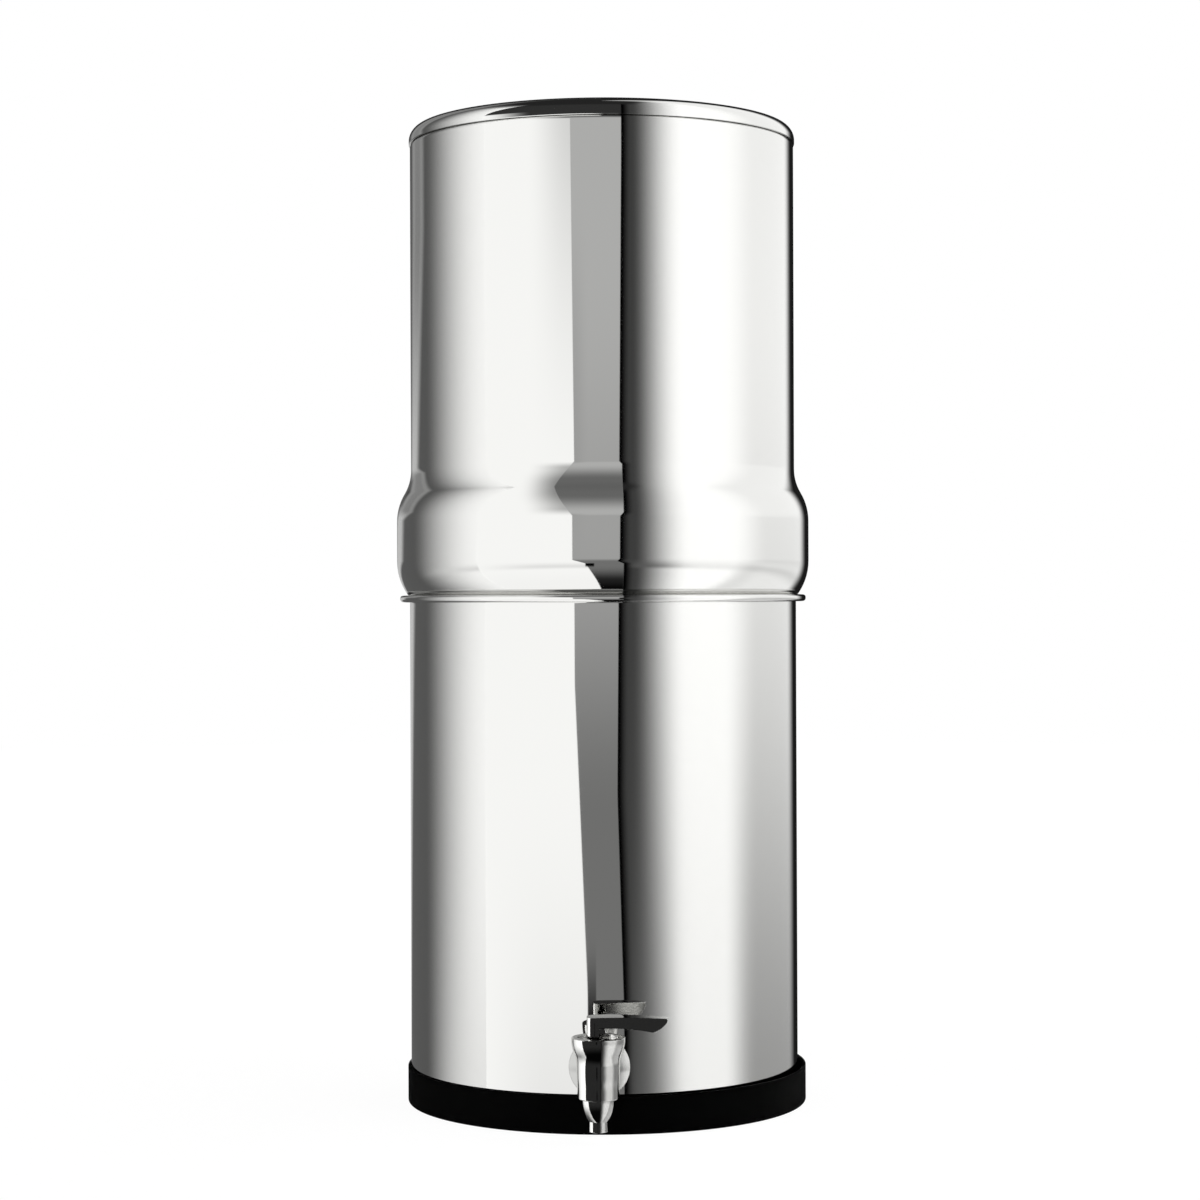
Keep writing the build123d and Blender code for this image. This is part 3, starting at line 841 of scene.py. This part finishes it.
@dataclass
class Lever:
    """The lever and the stem that it lifts: a fork over the stem's flat head, a heel and an arched handle."""

    steel: Material
    reach: float = 139.0
    pin: float = 64.5
    rear: float = -6.12
    tip: float = 38.0
    half_width: float = 6.5
    rear_corner: float = 4.5
    taper_start: float = 4.5
    tip_half: float = 3.9
    tip_corner: float = 1.3
    slot_half: float = 2.7
    slot_roof: float = 2.15
    edge: float = 0.4
    inner_edge: float = 0.25
    heel: float = 8.7
    heel_turn: float = 22.5
    heel_front: float = 0.6
    toe_round: float = 0.5
    step_round: float = 0.8
    crown: Points = ((-6.12, 3.4), (19.0, 3.55), (38.0, 2.7))
    arch: Points = ((4.0, -2.1), (16.0, -2.6), (29.3, -4.6))
    slant: Points = ((29.3, -4.6), (35.0, -1.7), (38.0, 2.7))
    lift: float = 2.6
    bead_drop: float = 4.7
    bead_half: float = 4.6
    bead_round: float = 2.2
    tongue: float = 1.9
    head_half: float = 2.5
    head_edge: float = 0.9
    shaft: float = 2.5
    disc: Points = ((3.6, 31.2), (3.6, 32.65), (2.0, 32.65), (2.0, 33.9), (3.6, 33.9), (3.6, 35.9))

    def through(self, points: Points, u: np.ndarray, upper: bool) -> np.ndarray:
        """Heights on the circle through three points: z = centre + or - sqrt(R^2 - (u - centre)^2).

        Args:
            points: three points along the lever and up from the pin.
            u: places along the lever.
            upper: whether the upper half of the circle is meant.

        Returns:
            The heights.
        """
        (ax, az), (bx, bz), (cx, cz) = points
        d = 2 * (ax * (bz - cz) + bx * (cz - az) + cx * (az - bz))
        a2, b2, c2 = ax**2 + az**2, bx**2 + bz**2, cx**2 + cz**2
        ox = (a2 * (bz - cz) + b2 * (cz - az) + c2 * (az - bz)) / d
        oz = (a2 * (cx - bx) + b2 * (ax - cx) + c2 * (bx - ax)) / d
        rise = arc_height(math.hypot(ax - ox, az - oz), u - ox)
        return oz + rise if upper else oz - rise

    def underside(self, u: np.ndarray) -> np.ndarray:
        """The lever's underside: curved heel, front step, arch and slanted tip.

        The heel's curve has the support p = heel + lift * a at the tilt a, so its points are
        (-p sin a - lift cos a, -p cos a + lift sin a).

        Args:
            u: places along the lever.

        Returns:
            The heights from the pin.
        """
        tilt = np.radians(np.linspace(0, self.heel_turn, 60))
        support = self.heel + self.lift * tilt
        along = -support * np.sin(tilt) - self.lift * np.cos(tilt)
        up = -support * np.cos(tilt) + self.lift * np.sin(tilt)
        toe, front = self.heel_front - self.toe_round, self.heel_front + self.step_round
        flat = self.arch[0][1]
        rounded = self.toe_round - self.heel - arc_height(self.toe_round, u - toe)
        heel = np.where(u > toe, rounded, np.interp(u, along[::-1], up[::-1]))
        step = flat - self.step_round + arc_height(self.step_round, front - u)
        tip = self.through(self.slant, u, False)
        low = np.where(u < self.slant[0][0], self.through(self.arch, u, True), tip)
        low = np.where(u < self.arch[0][0], flat, low)
        low = np.where(u < front, step, low)
        return np.where(u < self.heel_front, heel, low)

    def half(self, u: np.ndarray) -> np.ndarray:
        """Half the lever's width: round rear corners, straight sides that taper, small corners at the tip.

        Args:
            u: places along the lever.

        Returns:
            The half widths.
        """
        rear, end = self.rear + self.rear_corner, self.tip - self.tip_corner
        back = self.half_width - self.rear_corner + arc_height(self.rear_corner, rear - u)
        side = np.interp(u, [self.taper_start, self.tip], [self.half_width, self.tip_half])
        nose = side - self.tip_corner + arc_height(self.tip_corner, u - end)
        return np.where(u < rear, back, np.where(u > end, nose, side))

    def places(self) -> np.ndarray:
        """Chooses the sections' places along the lever, close together where its outline turns.

        Small gaps keep two places from meeting at a corner.

        Returns:
            The places, from the rear to the tip.
        """
        toe, nose, gap = self.heel_front, self.tip - self.tip_corner, 0.004
        bend = self.rear_corner - 0.3
        roof = np.linspace(0, math.pi / 2 - 0.02, 12)
        runs = [
            eased(self.rear + 5 * gap, bend, 30, True),
            np.linspace(self.rear + bend + 0.1, toe - self.toe_round, 10),
            eased(toe - self.toe_round, self.toe_round, 9, False),
            eased(toe + gap, self.step_round, 10, True),
            np.linspace(toe + self.step_round + 0.01, self.slot_roof - gap / 2, 8),
            self.slot_roof * np.sin(roof),
            np.linspace(self.slot_roof + gap, self.taper_start, 8),
            np.linspace(self.taper_start, nose, 64),
            eased(nose, self.tip_corner - 0.005, 30, False),
        ]
        return np.unique(np.concatenate(runs))

    def handle(self) -> Object:
        """Skins the lever's sections from the rear to the tip.

        Each section is a rounded rectangle with a slot cut up from below, whose roof falls to the
        underside in front of the stem's head. Sections narrower than the slot end at its roof. No edge
        takes more than about half of the section that it rounds.

        Returns:
            The lever.
        """
        u, most, thin = self.places(), 2.2, 0.05
        top, wide = self.through(self.crown, u, True), self.half(u)
        narrow = (u < 0) & (wide < self.slot_half + self.edge + thin)
        low = np.where(narrow, self.slot_roof, self.underside(u))
        edge = np.minimum(self.edge, np.minimum((top - low) / most, wide / most))
        roof = np.where(u <= 0, self.slot_roof, arc_height(self.slot_roof, u))
        roof = np.where(u < self.slot_roof, np.maximum(roof, low), low)
        slot = np.minimum(self.slot_half, np.maximum(wide - edge - thin, 4 * thin))
        inner = np.minimum(self.inner_edge, (roof - low) / most)
        quarter = np.linspace(0, math.pi / 2, 9)
        outline = [(np.zeros_like(u), top)]
        for angle in quarter:
            outline.append((wide - edge + edge * math.sin(angle), top - edge + edge * math.cos(angle)))
        for share in (0.25, 0.5, 0.75):
            outline.append((wide, (top - edge) * (1 - share) + (low + edge) * share))
        for angle in quarter:
            outline.append((wide - edge + edge * math.cos(angle), low + edge - edge * math.sin(angle)))
        for angle in quarter[::3]:
            outline.append((slot + inner - inner * math.sin(angle), low + inner - inner * math.cos(angle)))
        for share in (0.5, 1.0):
            outline.append((slot, (low + inner) * (1 - share) + roof * share))
        outline.append((np.zeros_like(u), roof))
        outline += [(-y, z) for y, z in outline[-2:0:-1]]
        y, z = (np.stack(values, axis=1) for values in zip(*outline))
        x = np.repeat(u[:, None], y.shape[1], axis=1)
        sections = np.stack([x, y - self.reach, z + self.pin], axis=2)
        return lofted(sections).piece("tap_handle", Body.LEVER, ("tap_lever",), "tap_steel", self.steel)

    def stem(self) -> list[Object]:
        """Skins the stem's flat head from the bead up, and turns the stem below it.

        Half the head's width at a height is the larger of the bead's round-ended bar and the tongue.

        Returns:
            The head and the shaft.
        """
        bead, rise, tongue, most = self.pin - self.bead_drop, self.bead_round, self.tongue, 2.1
        z = np.concatenate(
            [
                bead - rise * np.cos(np.linspace(0.12, math.pi / 2, 16)),
                bead + rise * np.sin(np.linspace(0.1, math.pi / 2 - 0.1, 12)),
                np.linspace(bead + rise + 0.02, self.pin, 8),
                self.pin + tongue * np.sin(np.linspace(0.1, math.pi / 2 - 0.12, 12)),
            ]
        )
        bar = np.where(np.abs(z - bead) < rise, self.bead_half - rise + arc_height(rise, z - bead), 0)
        neck = np.where(z > self.pin, arc_height(tongue, z - self.pin), tongue)
        wide = np.maximum(bar, np.where(z > bead, neck, 0))
        edge = np.minimum(self.head_edge, wide / most)
        angles = np.linspace(0, math.pi / 2, 8)
        across, along = [], []
        for side, face, turn in ((1, 1, False), (-1, 1, True), (-1, -1, False), (1, -1, True)):
            for angle in angles[::-1] if turn else angles:
                across.append(side * (wide - edge + edge * math.cos(angle)))
                along.append(face * (self.head_half - edge + edge * math.sin(angle)))
        x, y = np.stack(across, axis=1), np.stack(along, axis=1)
        heights = np.repeat(z[:, None], x.shape[1], axis=1)
        head = lofted(np.stack([x, y - self.reach, heights], axis=2))
        top = head.piece("stem_head", Body.STEM, ("tap_stem",), "tap_steel", self.steel)
        (_, bottom), (_, shoulder) = self.disc[0], self.disc[-1]
        trace = Trace((0.0, bottom), 0.0).to(*self.disc)
        trace.to((self.shaft, shoulder), (self.shaft, bead), (0.0, bead))
        shaft = revolved(trace, 64, (0.0, -self.reach, 0.0))
        return [top, shaft.piece("stem_shaft", Body.STEM, ("tap_stem",), "tap_steel", self.steel)]


# Studio


class Measure(Enum):
    """What bounds a part of the studio's light, worked out from a direction."""

    AROUND = "degrees round the chambers, 0 where they face the camera, held along their upright lines"
    BEARING = "plain degrees round the object, 0 towards the camera and rising to the right"
    SLANT = "AROUND along the left softbox's front edge, which leans"
    BEND = "AROUND along the right flag's edge, which bends"
    LEAN = "BEARING along the strip light at the left rear, which leans back"
    RISE = "the direction's z"
    EAVES = "the direction's z over the tall panels' lower edge, which rises to the left"
    SIDE = "the direction's x"
    BACK = "the direction's y"


AROUND, BEARING, SLANT, BEND, LEAN, RISE, EAVES, SIDE, BACK = Measure


@dataclass(frozen=True)
class Drift:
    """A stretch over which an edge moves in a straight line, as another measure runs between two places."""

    along: Measure
    places: tuple[float, float]
    shifts: tuple[float, float]


# Edges that aren't straight: the measure that each starts from, and its drifts
EDGES = {
    SLANT: (
        AROUND,
        Drift(RISE, (-1.0, -0.14), (-10.32, 0.0)),
        Drift(RISE, (-0.14, -0.03), (-6.93, 0.0)),
        Drift(RISE, (0.05, 1.0), (0.0, 13.3)),
    ),
    BEND: (
        AROUND,
        Drift(RISE, (-0.14667, -0.07), (-3.381, 0.0)),
        Drift(RISE, (-0.07, 0.16), (0.0, -3.381)),
    ),
    LEAN: (BEARING, Drift(RISE, (-1.0, 0.13), (120.0, -15.6))),
    EAVES: (RISE, Drift(BEARING, (-76.0, -36.0), (-0.16, 0.0))),
}


@dataclass(frozen=True)
class Fade:
    """Light that grows smoothly from nothing to full between two places along one measure."""

    measure: Measure
    start: float
    full: float


@dataclass(frozen=True)
class Area:
    """A softbox, wall or flag: the grey that it shows in the chambers' steel, and the fades that bound it."""

    name: str
    grey: int
    fades: tuple[Fade, ...] = ()


# Bounds that several areas share
LEFT_OF_SLANT = Fade(SLANT, -15.9, -16.7)
RIGHT_OF_SLANT = Fade(SLANT, -16.7, -15.9)
LEFT_OF_FLAG = Fade(BEND, 8.1, 7.7)
IN_FRONT = Fade(BEARING, -73.2, -72.8)
AT_THE_LEFT = Fade(BEARING, -72.8, -73.2)
AT_THE_RIGHT = Fade(BEARING, 74, 104)
AT_THE_REAR = Fade(BEARING, 139, 152)
OVER_THE_GROUND = Fade(RISE, -0.34, -0.2)
BACKDROP = Fade(BACK, 0.985, 0.996)
FRONT_WALL = (RIGHT_OF_SLANT, LEFT_OF_FLAG)
LEFT_SIDE = (Fade(BEARING, -131, -70), AT_THE_LEFT)
REAR_STRIP = (Fade(LEAN, -177, -163), Fade(LEAN, -146, -157))
NEAR_TABLE = (Fade(RISE, -0.06, -0.3), OVER_THE_GROUND)
LOW_FLAG = (
    Fade(AROUND, -9.9, -9.1),
    Fade(AROUND, -4.3, -5.1),
    Fade(RISE, -0.12, -0.155),
    Fade(RISE, -0.28, -0.2),
)

# The room that every piece sees, each area laid over the ones before it
ROOM = (
    Area("dark room in front", 46),
    Area("dark ground in front", 6, (Fade(RISE, -0.3, -0.7),)),
    Area("black flag low in front", 0, LOW_FLAG),
    Area("rear left wall", 80, (AT_THE_LEFT,)),
    Area("left softbox, side part", 240, LEFT_SIDE),
    Area("left softbox, side part, low", 200, LEFT_SIDE + NEAR_TABLE),
    Area("rear left strip", 168, REAR_STRIP),
    Area("rear left strip, top", 118, REAR_STRIP + (Fade(RISE, 0.04, 0.13),)),
    Area("right flag", 0, (Fade(BEND, 7.7, 8.1),)),
    Area("glow on the flag", 58, (Fade(BEND, 8.4, 14),)),
    Area("right softbox", 253, (Fade(AROUND, 17, 49),)),
    Area("right softbox, low", 232, (Fade(AROUND, 40, 62), Fade(RISE, 0.05, -0.25), OVER_THE_GROUND)),
    Area(
        "right softbox, low left part",
        85,
        (
            Fade(AROUND, 12.4, 20),
            Fade(AROUND, 62, 20),
            Fade(RISE, 0.08, -0.32),
            OVER_THE_GROUND,
        ),
    ),
    Area("right side wall", 170, (AT_THE_RIGHT,)),
    Area("right side wall, low", 142, (AT_THE_RIGHT, Fade(RISE, 0.0, -0.2))),
    Area("pale table at the right", 200, (AT_THE_RIGHT, Fade(RISE, -0.2, -0.35))),
    Area("gap at the right rear", 22, (Fade(BEARING, 141, 156),)),
    Area("ceiling", 34, (Fade(RISE, 0.74, 0.9), Fade(SIDE, 0.3, 0.16))),
    Area(
        "rear above the backdrop",
        30,
        (
            Fade(BACK, 0.5, 0.72),
            Fade(RISE, 0.13, 0.2),
            Fade(SIDE, -0.42, -0.22),
            Fade(SIDE, 0.42, 0.22),
        ),
    ),
)
# The left softbox in front, whose upper right corner is dim
LEFT_SOFTBOX = (
    Area("left softbox, front part", 238, (LEFT_OF_SLANT, IN_FRONT)),
    Area(
        "left softbox, upper right part",
        160,
        (LEFT_OF_SLANT, Fade(RISE, 0.03, 0.3), Fade(AROUND, -45, -17)),
    ),
    Area("left softbox, top corner", 92, (LEFT_OF_SLANT, Fade(RISE, 0.3, 0.8), Fade(AROUND, -50, -14))),
    Area("left softbox, low part", 205, (LEFT_OF_SLANT, IN_FRONT, Fade(AROUND, -80, -30)) + NEAR_TABLE),
)
# What the chambers and the lid see below the tall panels and at the right, added to the room
LOW_LIGHT = LEFT_SOFTBOX + (
    Area("front wall", 98, FRONT_WALL),
    Area("front wall, middle", 149, FRONT_WALL + (Fade(RISE, -0.08, 0.03),)),
    Area("front wall, upper part", 163, FRONT_WALL + (Fade(RISE, 0.03, 0.14),)),
    Area("front wall, left side", 128, (RIGHT_OF_SLANT, Fade(AROUND, -7, -18), Fade(RISE, 0.0, 0.12))),
    Area("dim ground", 26, FRONT_WALL + (Fade(RISE, -0.2, -0.65),)),
    Area("dark ground", 0, FRONT_WALL + (Fade(RISE, -0.65, -0.85),)),
    Area("black flag low in front", 0, LOW_FLAG),
    Area("end at the tall panels", 0, (Fade(EAVES, 0.03, 0.15),)),
    Area("right side wall, lit", 172, (AT_THE_RIGHT, Fade(RISE, -0.2, 0.12))),
    Area("rear", 0, (AT_THE_REAR,)),
)
# The tall panels above them, which the chambers see and the lid and the tap don't
TALL_LIGHT = LEFT_SOFTBOX + (
    Area("front wall", 163, FRONT_WALL),
    Area("front wall, high part", 86, FRONT_WALL + (Fade(RISE, 0.17, 0.7),)),
    Area("start at the tall panels", 0, (Fade(EAVES, 0.15, 0.03),)),
)
# The pale side wall low at the right, which the table hides from the lower chamber
SIDE_LIGHT = (
    Area("pale side wall, low", 155, (AT_THE_RIGHT, Fade(RISE, 0.0, -0.14))),
    Area("rear", 0, (AT_THE_REAR,)),
    Area("table", 120, (AT_THE_RIGHT, Fade(RISE, -0.22, -0.35))),
)
# A strip box at the left that only the tap sees
TAP_LIGHT = (
    Area(
        "strip box",
        250,
        (
            Fade(BEARING, -72.8, -73.6),
            Fade(BEARING, -140, -118),
            Fade(RISE, 0.75, 0.5),
            Fade(RISE, -0.65, -0.25),
        ),
    ),
)


@dataclass
class Studio:
    """The camera, the pale floor and the soft light: a room by direction, and screens for some pieces."""

    distance: float = 1.634
    camera_height: float = 0.2923
    camera_turn: float = 1.4
    lens: float = 83.92
    sensor: float = 36.0
    roll: float = -0.2
    shift: tuple[float, float] = (-0.0025, -0.00275)
    mirror: float = 0.66
    screen_cuts: int = 48
    floor_cuts: int = 96
    floor_radius: float = 4.0
    floor_gap: float = 0.0002
    floor_glow: float = 1.06
    floor_share: float = 0.9

    def camera(self) -> None:
        """Stands the camera in front of the tap, level, at the photograph's height."""
        data = bpy.data.cameras.new("camera")
        data.sensor_width = self.sensor
        data.lens = self.lens
        data.shift_x, data.shift_y = self.shift
        turn = math.radians(self.camera_turn)
        made = bpy.data.objects.new("camera", data)
        spot = (self.distance * math.sin(turn), -self.distance * math.cos(turn), self.camera_height)
        upright = Matrix.Rotation(turn, 4, "Z") @ Matrix.Rotation(math.pi / 2, 4, "X")
        rolled = upright @ Matrix.Rotation(math.radians(self.roll), 4, "Z")
        made.matrix_world = Matrix.Translation(spot) @ rolled
        bpy.context.scene.collection.objects.link(made)
        bpy.context.scene.camera = made

    def measures(self, tree: NodeTree, way: Source) -> dict[Measure, Source]:
        """Works out every measure from a direction.

        With the camera along -Y, the bearing is atan2(x, -y). Around is 2 atan2(x, 1 - y), which is twice
        the bearing of the surface that mirrors the direction to the camera. An edge that isn't straight is
        the measure that it starts from plus its drifts.

        Args:
            tree: the node tree.
            way: the direction.

        Returns:
            The measures.
        """

        def step(operation: str, *values: Source) -> Node:
            """Adds one sum of the values."""
            return add_node(tree, "Math", dict(enumerate(values)), operation=operation)

        angle = -math.radians(self.camera_turn)
        turned = add_node(tree, "VectorRotate", {"Vector": way, "Angle": angle}, rotation_type="Z_AXIS")
        x, y, z = add_node(tree, "SeparateXYZ", {0: turned}).outputs
        half_around = step("ARCTAN2", x, step("SUBTRACT", 1.0, y))
        made = {
            AROUND: step("MULTIPLY", step("DEGREES", half_around), 2.0),
            BEARING: step("DEGREES", step("ARCTAN2", x, step("MULTIPLY", y, -1.0))),
            RISE: z,
            SIDE: x,
            BACK: y,
        }
        for edge, (base, *drifts) in EDGES.items():
            made[edge] = made[base]
            for drift in drifts:
                held = dict(enumerate((made[drift.along], *drift.places, *drift.shifts)))
                made[edge] = step("ADD", made[edge], add_node(tree, "MapRange", held))
        return made

    def cover(self, tree: NodeTree, measures: dict[Measure, Source], fades: tuple[Fade, ...]) -> Source:
        """Multiplies the fades, so that an area shows where all of them are full.

        Args:
            tree: the node tree.
            measures: the measures.
            fades: the fades.

        Returns:
            The product, which is 1 without a fade.
        """
        made: Source = 1.0
        for fade in fades:
            held = {"Value": measures[fade.measure], "From Min": fade.start, "From Max": fade.full}
            edge = add_node(tree, "MapRange", held, interpolation_type="SMOOTHSTEP")
            made = add_node(tree, "Math", {0: edge, 1: made}, operation="MULTIPLY")
        return made

    def light(self, tree: NodeTree, measures: dict[Measure, Source], areas: tuple[Area, ...]) -> Source:
        """Lays the areas over darkness and over each other.

        A grey g from 0 to 255 stands for the light that shows as g in the chambers' steel.

        Args:
            tree: the node tree.
            measures: the measures.
            areas: the areas, from the one below to the one on top.

        Returns:
            The light.
        """
        made: Source = 0.0
        for area in areas:
            level = linear("#" + f"{area.grey:02x}" * 3)[0] / self.mirror
            held = {0: self.cover(tree, measures, area.fades), 2: made, 3: level}
            made = add_node(tree, "Mix", held, data_type="FLOAT", label=area.name)
        return made

    def world(self) -> None:
        """Lights the room by direction. The camera sees white, and so does metal that faces straight back."""
        made = bpy.data.worlds.new("studio")
        made.use_nodes = True
        tree = made.node_tree
        tree.nodes.clear()
        measures = self.measures(tree, add_node(tree, "TexCoord").outputs["Generated"])
        room = add_node(tree, "Background", {0: self.light(tree, measures, ROOM), 1: 1.0})
        white = add_node(tree, "Background", {0: WHITE, 1: 1.0})
        rays = add_node(tree, "LightPath").outputs
        backdrop = self.cover(tree, measures, (BACKDROP,))
        sharp = {0: rays["Is Glossy Ray"], 1: rays["Is Transmission Ray"]}
        behind = {0: add_node(tree, "Math", sharp, operation="MAXIMUM"), 1: backdrop}
        seen = {0: rays["Is Camera Ray"], 1: add_node(tree, "Math", behind, operation="MULTIPLY")}
        share = add_node(tree, "Math", seen, operation="MAXIMUM")
        add_node(tree, "OutputWorld", {0: add_node(tree, "MixShader", {0: share, 1: room, 2: white})})
        bpy.context.scene.world = made

    def screen(self, name: str, radius: float, areas: tuple[Area, ...]) -> Object:
        """Hangs a clear globe round the scene that adds light by direction.

        Its points are R (cos e sin a, -cos e cos a, sin e). The camera doesn't see it and it casts no shadow.

        Args:
            name: its name.
            radius: its size R in metres, its own so that no two globes meet.
            areas: its light.

        Returns:
            The object.
        """
        made, tree = new_material(name)
        made.cycles.emission_sampling = "NONE"
        place = add_node(tree, "TexCoord").outputs["Object"]
        way = add_node(tree, "VectorMath", {0: place}, operation="NORMALIZE")
        glow = add_node(tree, "Emission", {0: self.light(tree, self.measures(tree, way), areas), 1: 1.0})
        clear = add_node(tree, "BsdfTransparent")
        add_node(tree, "OutputMaterial", {0: add_node(tree, "AddShader", {0: glow, 1: clear})})
        around = np.linspace(0, 2 * math.pi, self.screen_cuts + 1)[None, :]
        up = np.linspace(-math.pi / 2, math.pi / 2, self.screen_cuts // 2 + 1)[:, None]
        grid = [np.cos(up) * np.sin(around), -np.cos(up) * np.cos(around), np.sin(up) + 0 * around]
        points = radius * np.stack(grid, axis=2).reshape(-1, 3)
        mesh = bpy.data.meshes.new(name)
        mesh.from_pydata(points.tolist(), [], grid_faces(self.screen_cuts // 2 + 1, self.screen_cuts + 1))
        mesh.materials.append(made)
        globe = bpy.data.objects.new(name, mesh)
        globe.visible_camera = False
        globe.visible_shadow = False
        bpy.context.scene.collection.objects.link(globe)
        return globe

    def linked(self, screen: Object, pieces: list[Object], only: bool) -> None:
        """Keeps a screen's light off the pieces, or on them alone.

        Args:
            screen: the glowing surface.
            pieces: the pieces.
            only: whether they alone see it.
        """
        group = bpy.data.collections.new(screen.name + "_pieces")
        for piece in pieces:
            group.objects.link(piece)
        screen.light_linking.receiver_collection = group
        for held in group.collection_objects:
            held.light_linking.link_state = "INCLUDE" if only else "EXCLUDE"

    def floor(self) -> None:
        """Lays a round pale floor that is white to the camera and keeps the object's shadow."""
        angles = np.linspace(0, 2 * math.pi, self.floor_cuts, endpoint=False)
        x, y = self.floor_radius * np.cos(angles), self.floor_radius * np.sin(angles)
        points = np.stack([x, y, np.full_like(x, -self.floor_gap)], axis=1)
        mesh = bpy.data.meshes.new("floor")
        mesh.from_pydata(points.tolist(), [], [list(range(self.floor_cuts))])
        made, tree = new_material("pale_paper")
        paper = add_node(tree, "BsdfDiffuse", {0: linear("#F4F4F3")})
        glow = add_node(tree, "Emission", {0: WHITE, 1: self.floor_glow})
        seen = {0: add_node(tree, "LightPath").outputs["Is Camera Ray"], 1: self.floor_share}
        share = add_node(tree, "Math", seen, operation="MULTIPLY")
        add_node(tree, "OutputMaterial", {0: add_node(tree, "MixShader", {0: share, 1: paper, 2: glow})})
        mesh.materials.append(made)
        floor = bpy.data.objects.new("floor", mesh)
        floor.visible_glossy = False
        bpy.context.scene.collection.objects.link(floor)


def dress_hidden_nodes(finishes: dict[Material, tuple[str, ...]]) -> None:
    """Gives every CAD node that stays its finish, on all its material slots.

    Args:
        finishes: the starts of the nodes' names, by their material.
    """
    for finish, starts in finishes.items():
        for node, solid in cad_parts.items():
            if node.startswith(starts):
                for held in solid.material_slots:
                    held.material = finish
                log.info("%s keeps its solid, in %s", node, finish.name)


def main() -> None:
    """Builds the purifier's pieces in order, then the studio."""
    logging.basicConfig(level=logging.INFO, format="%(name)s: %(message)s")
    bpy.context.scene.view_settings.view_transform = "Standard"
    tank, tap = TANK_STEEL.material(), TAP_STEEL.material()
    studio = Studio()
    studio.camera()
    lower = LowerChamber(tank, RING_RUBBER.material())
    lower.tank()
    lower.ring()
    upper = UpperChamber(tank).tank()
    lid = Lid(tank).shell()
    spigot, lever = Tap(tap), Lever(tap)
    spigot.flange()
    tap_pieces = [spigot.body(), spigot.outlet(), spigot.bonnet(), lever.handle(), *lever.stem()]
    dress_hidden_nodes(
        {
            tap: ("lever_pin",),
            SILICONE.material(): ("tap_outer_washer", "tap_inner_washer", "tap_seat_cup"),
            TURNED_STEEL.material(): ("tap_nut", "tap_spring"),
            SEAL_RUBBER.material(): ("tap_gland_seal", "filter_washer", "plug_washer"),
            CARBON.material(): ("filter_block",),
            BLACK_PLASTIC.material(): ("filter_top_cap", "filter_base"),
            WHITE_PLASTIC.material(): ("tap_slip_washer", "wing_nut", "blocking_plug", "plug_nut"),
        }
    )
    studio.world()
    studio.linked(studio.screen("low_light", 200.0, LOW_LIGHT), tap_pieces, False)
    studio.linked(studio.screen("tall_light", 210.0, TALL_LIGHT), tap_pieces + [lid], False)
    studio.linked(studio.screen("side_light", 220.0, SIDE_LIGHT), [upper], True)
    studio.linked(studio.screen("tap_light", 230.0, TAP_LIGHT), tap_pieces, True)
    studio.floor()


if __name__ == "__main__":
    main()
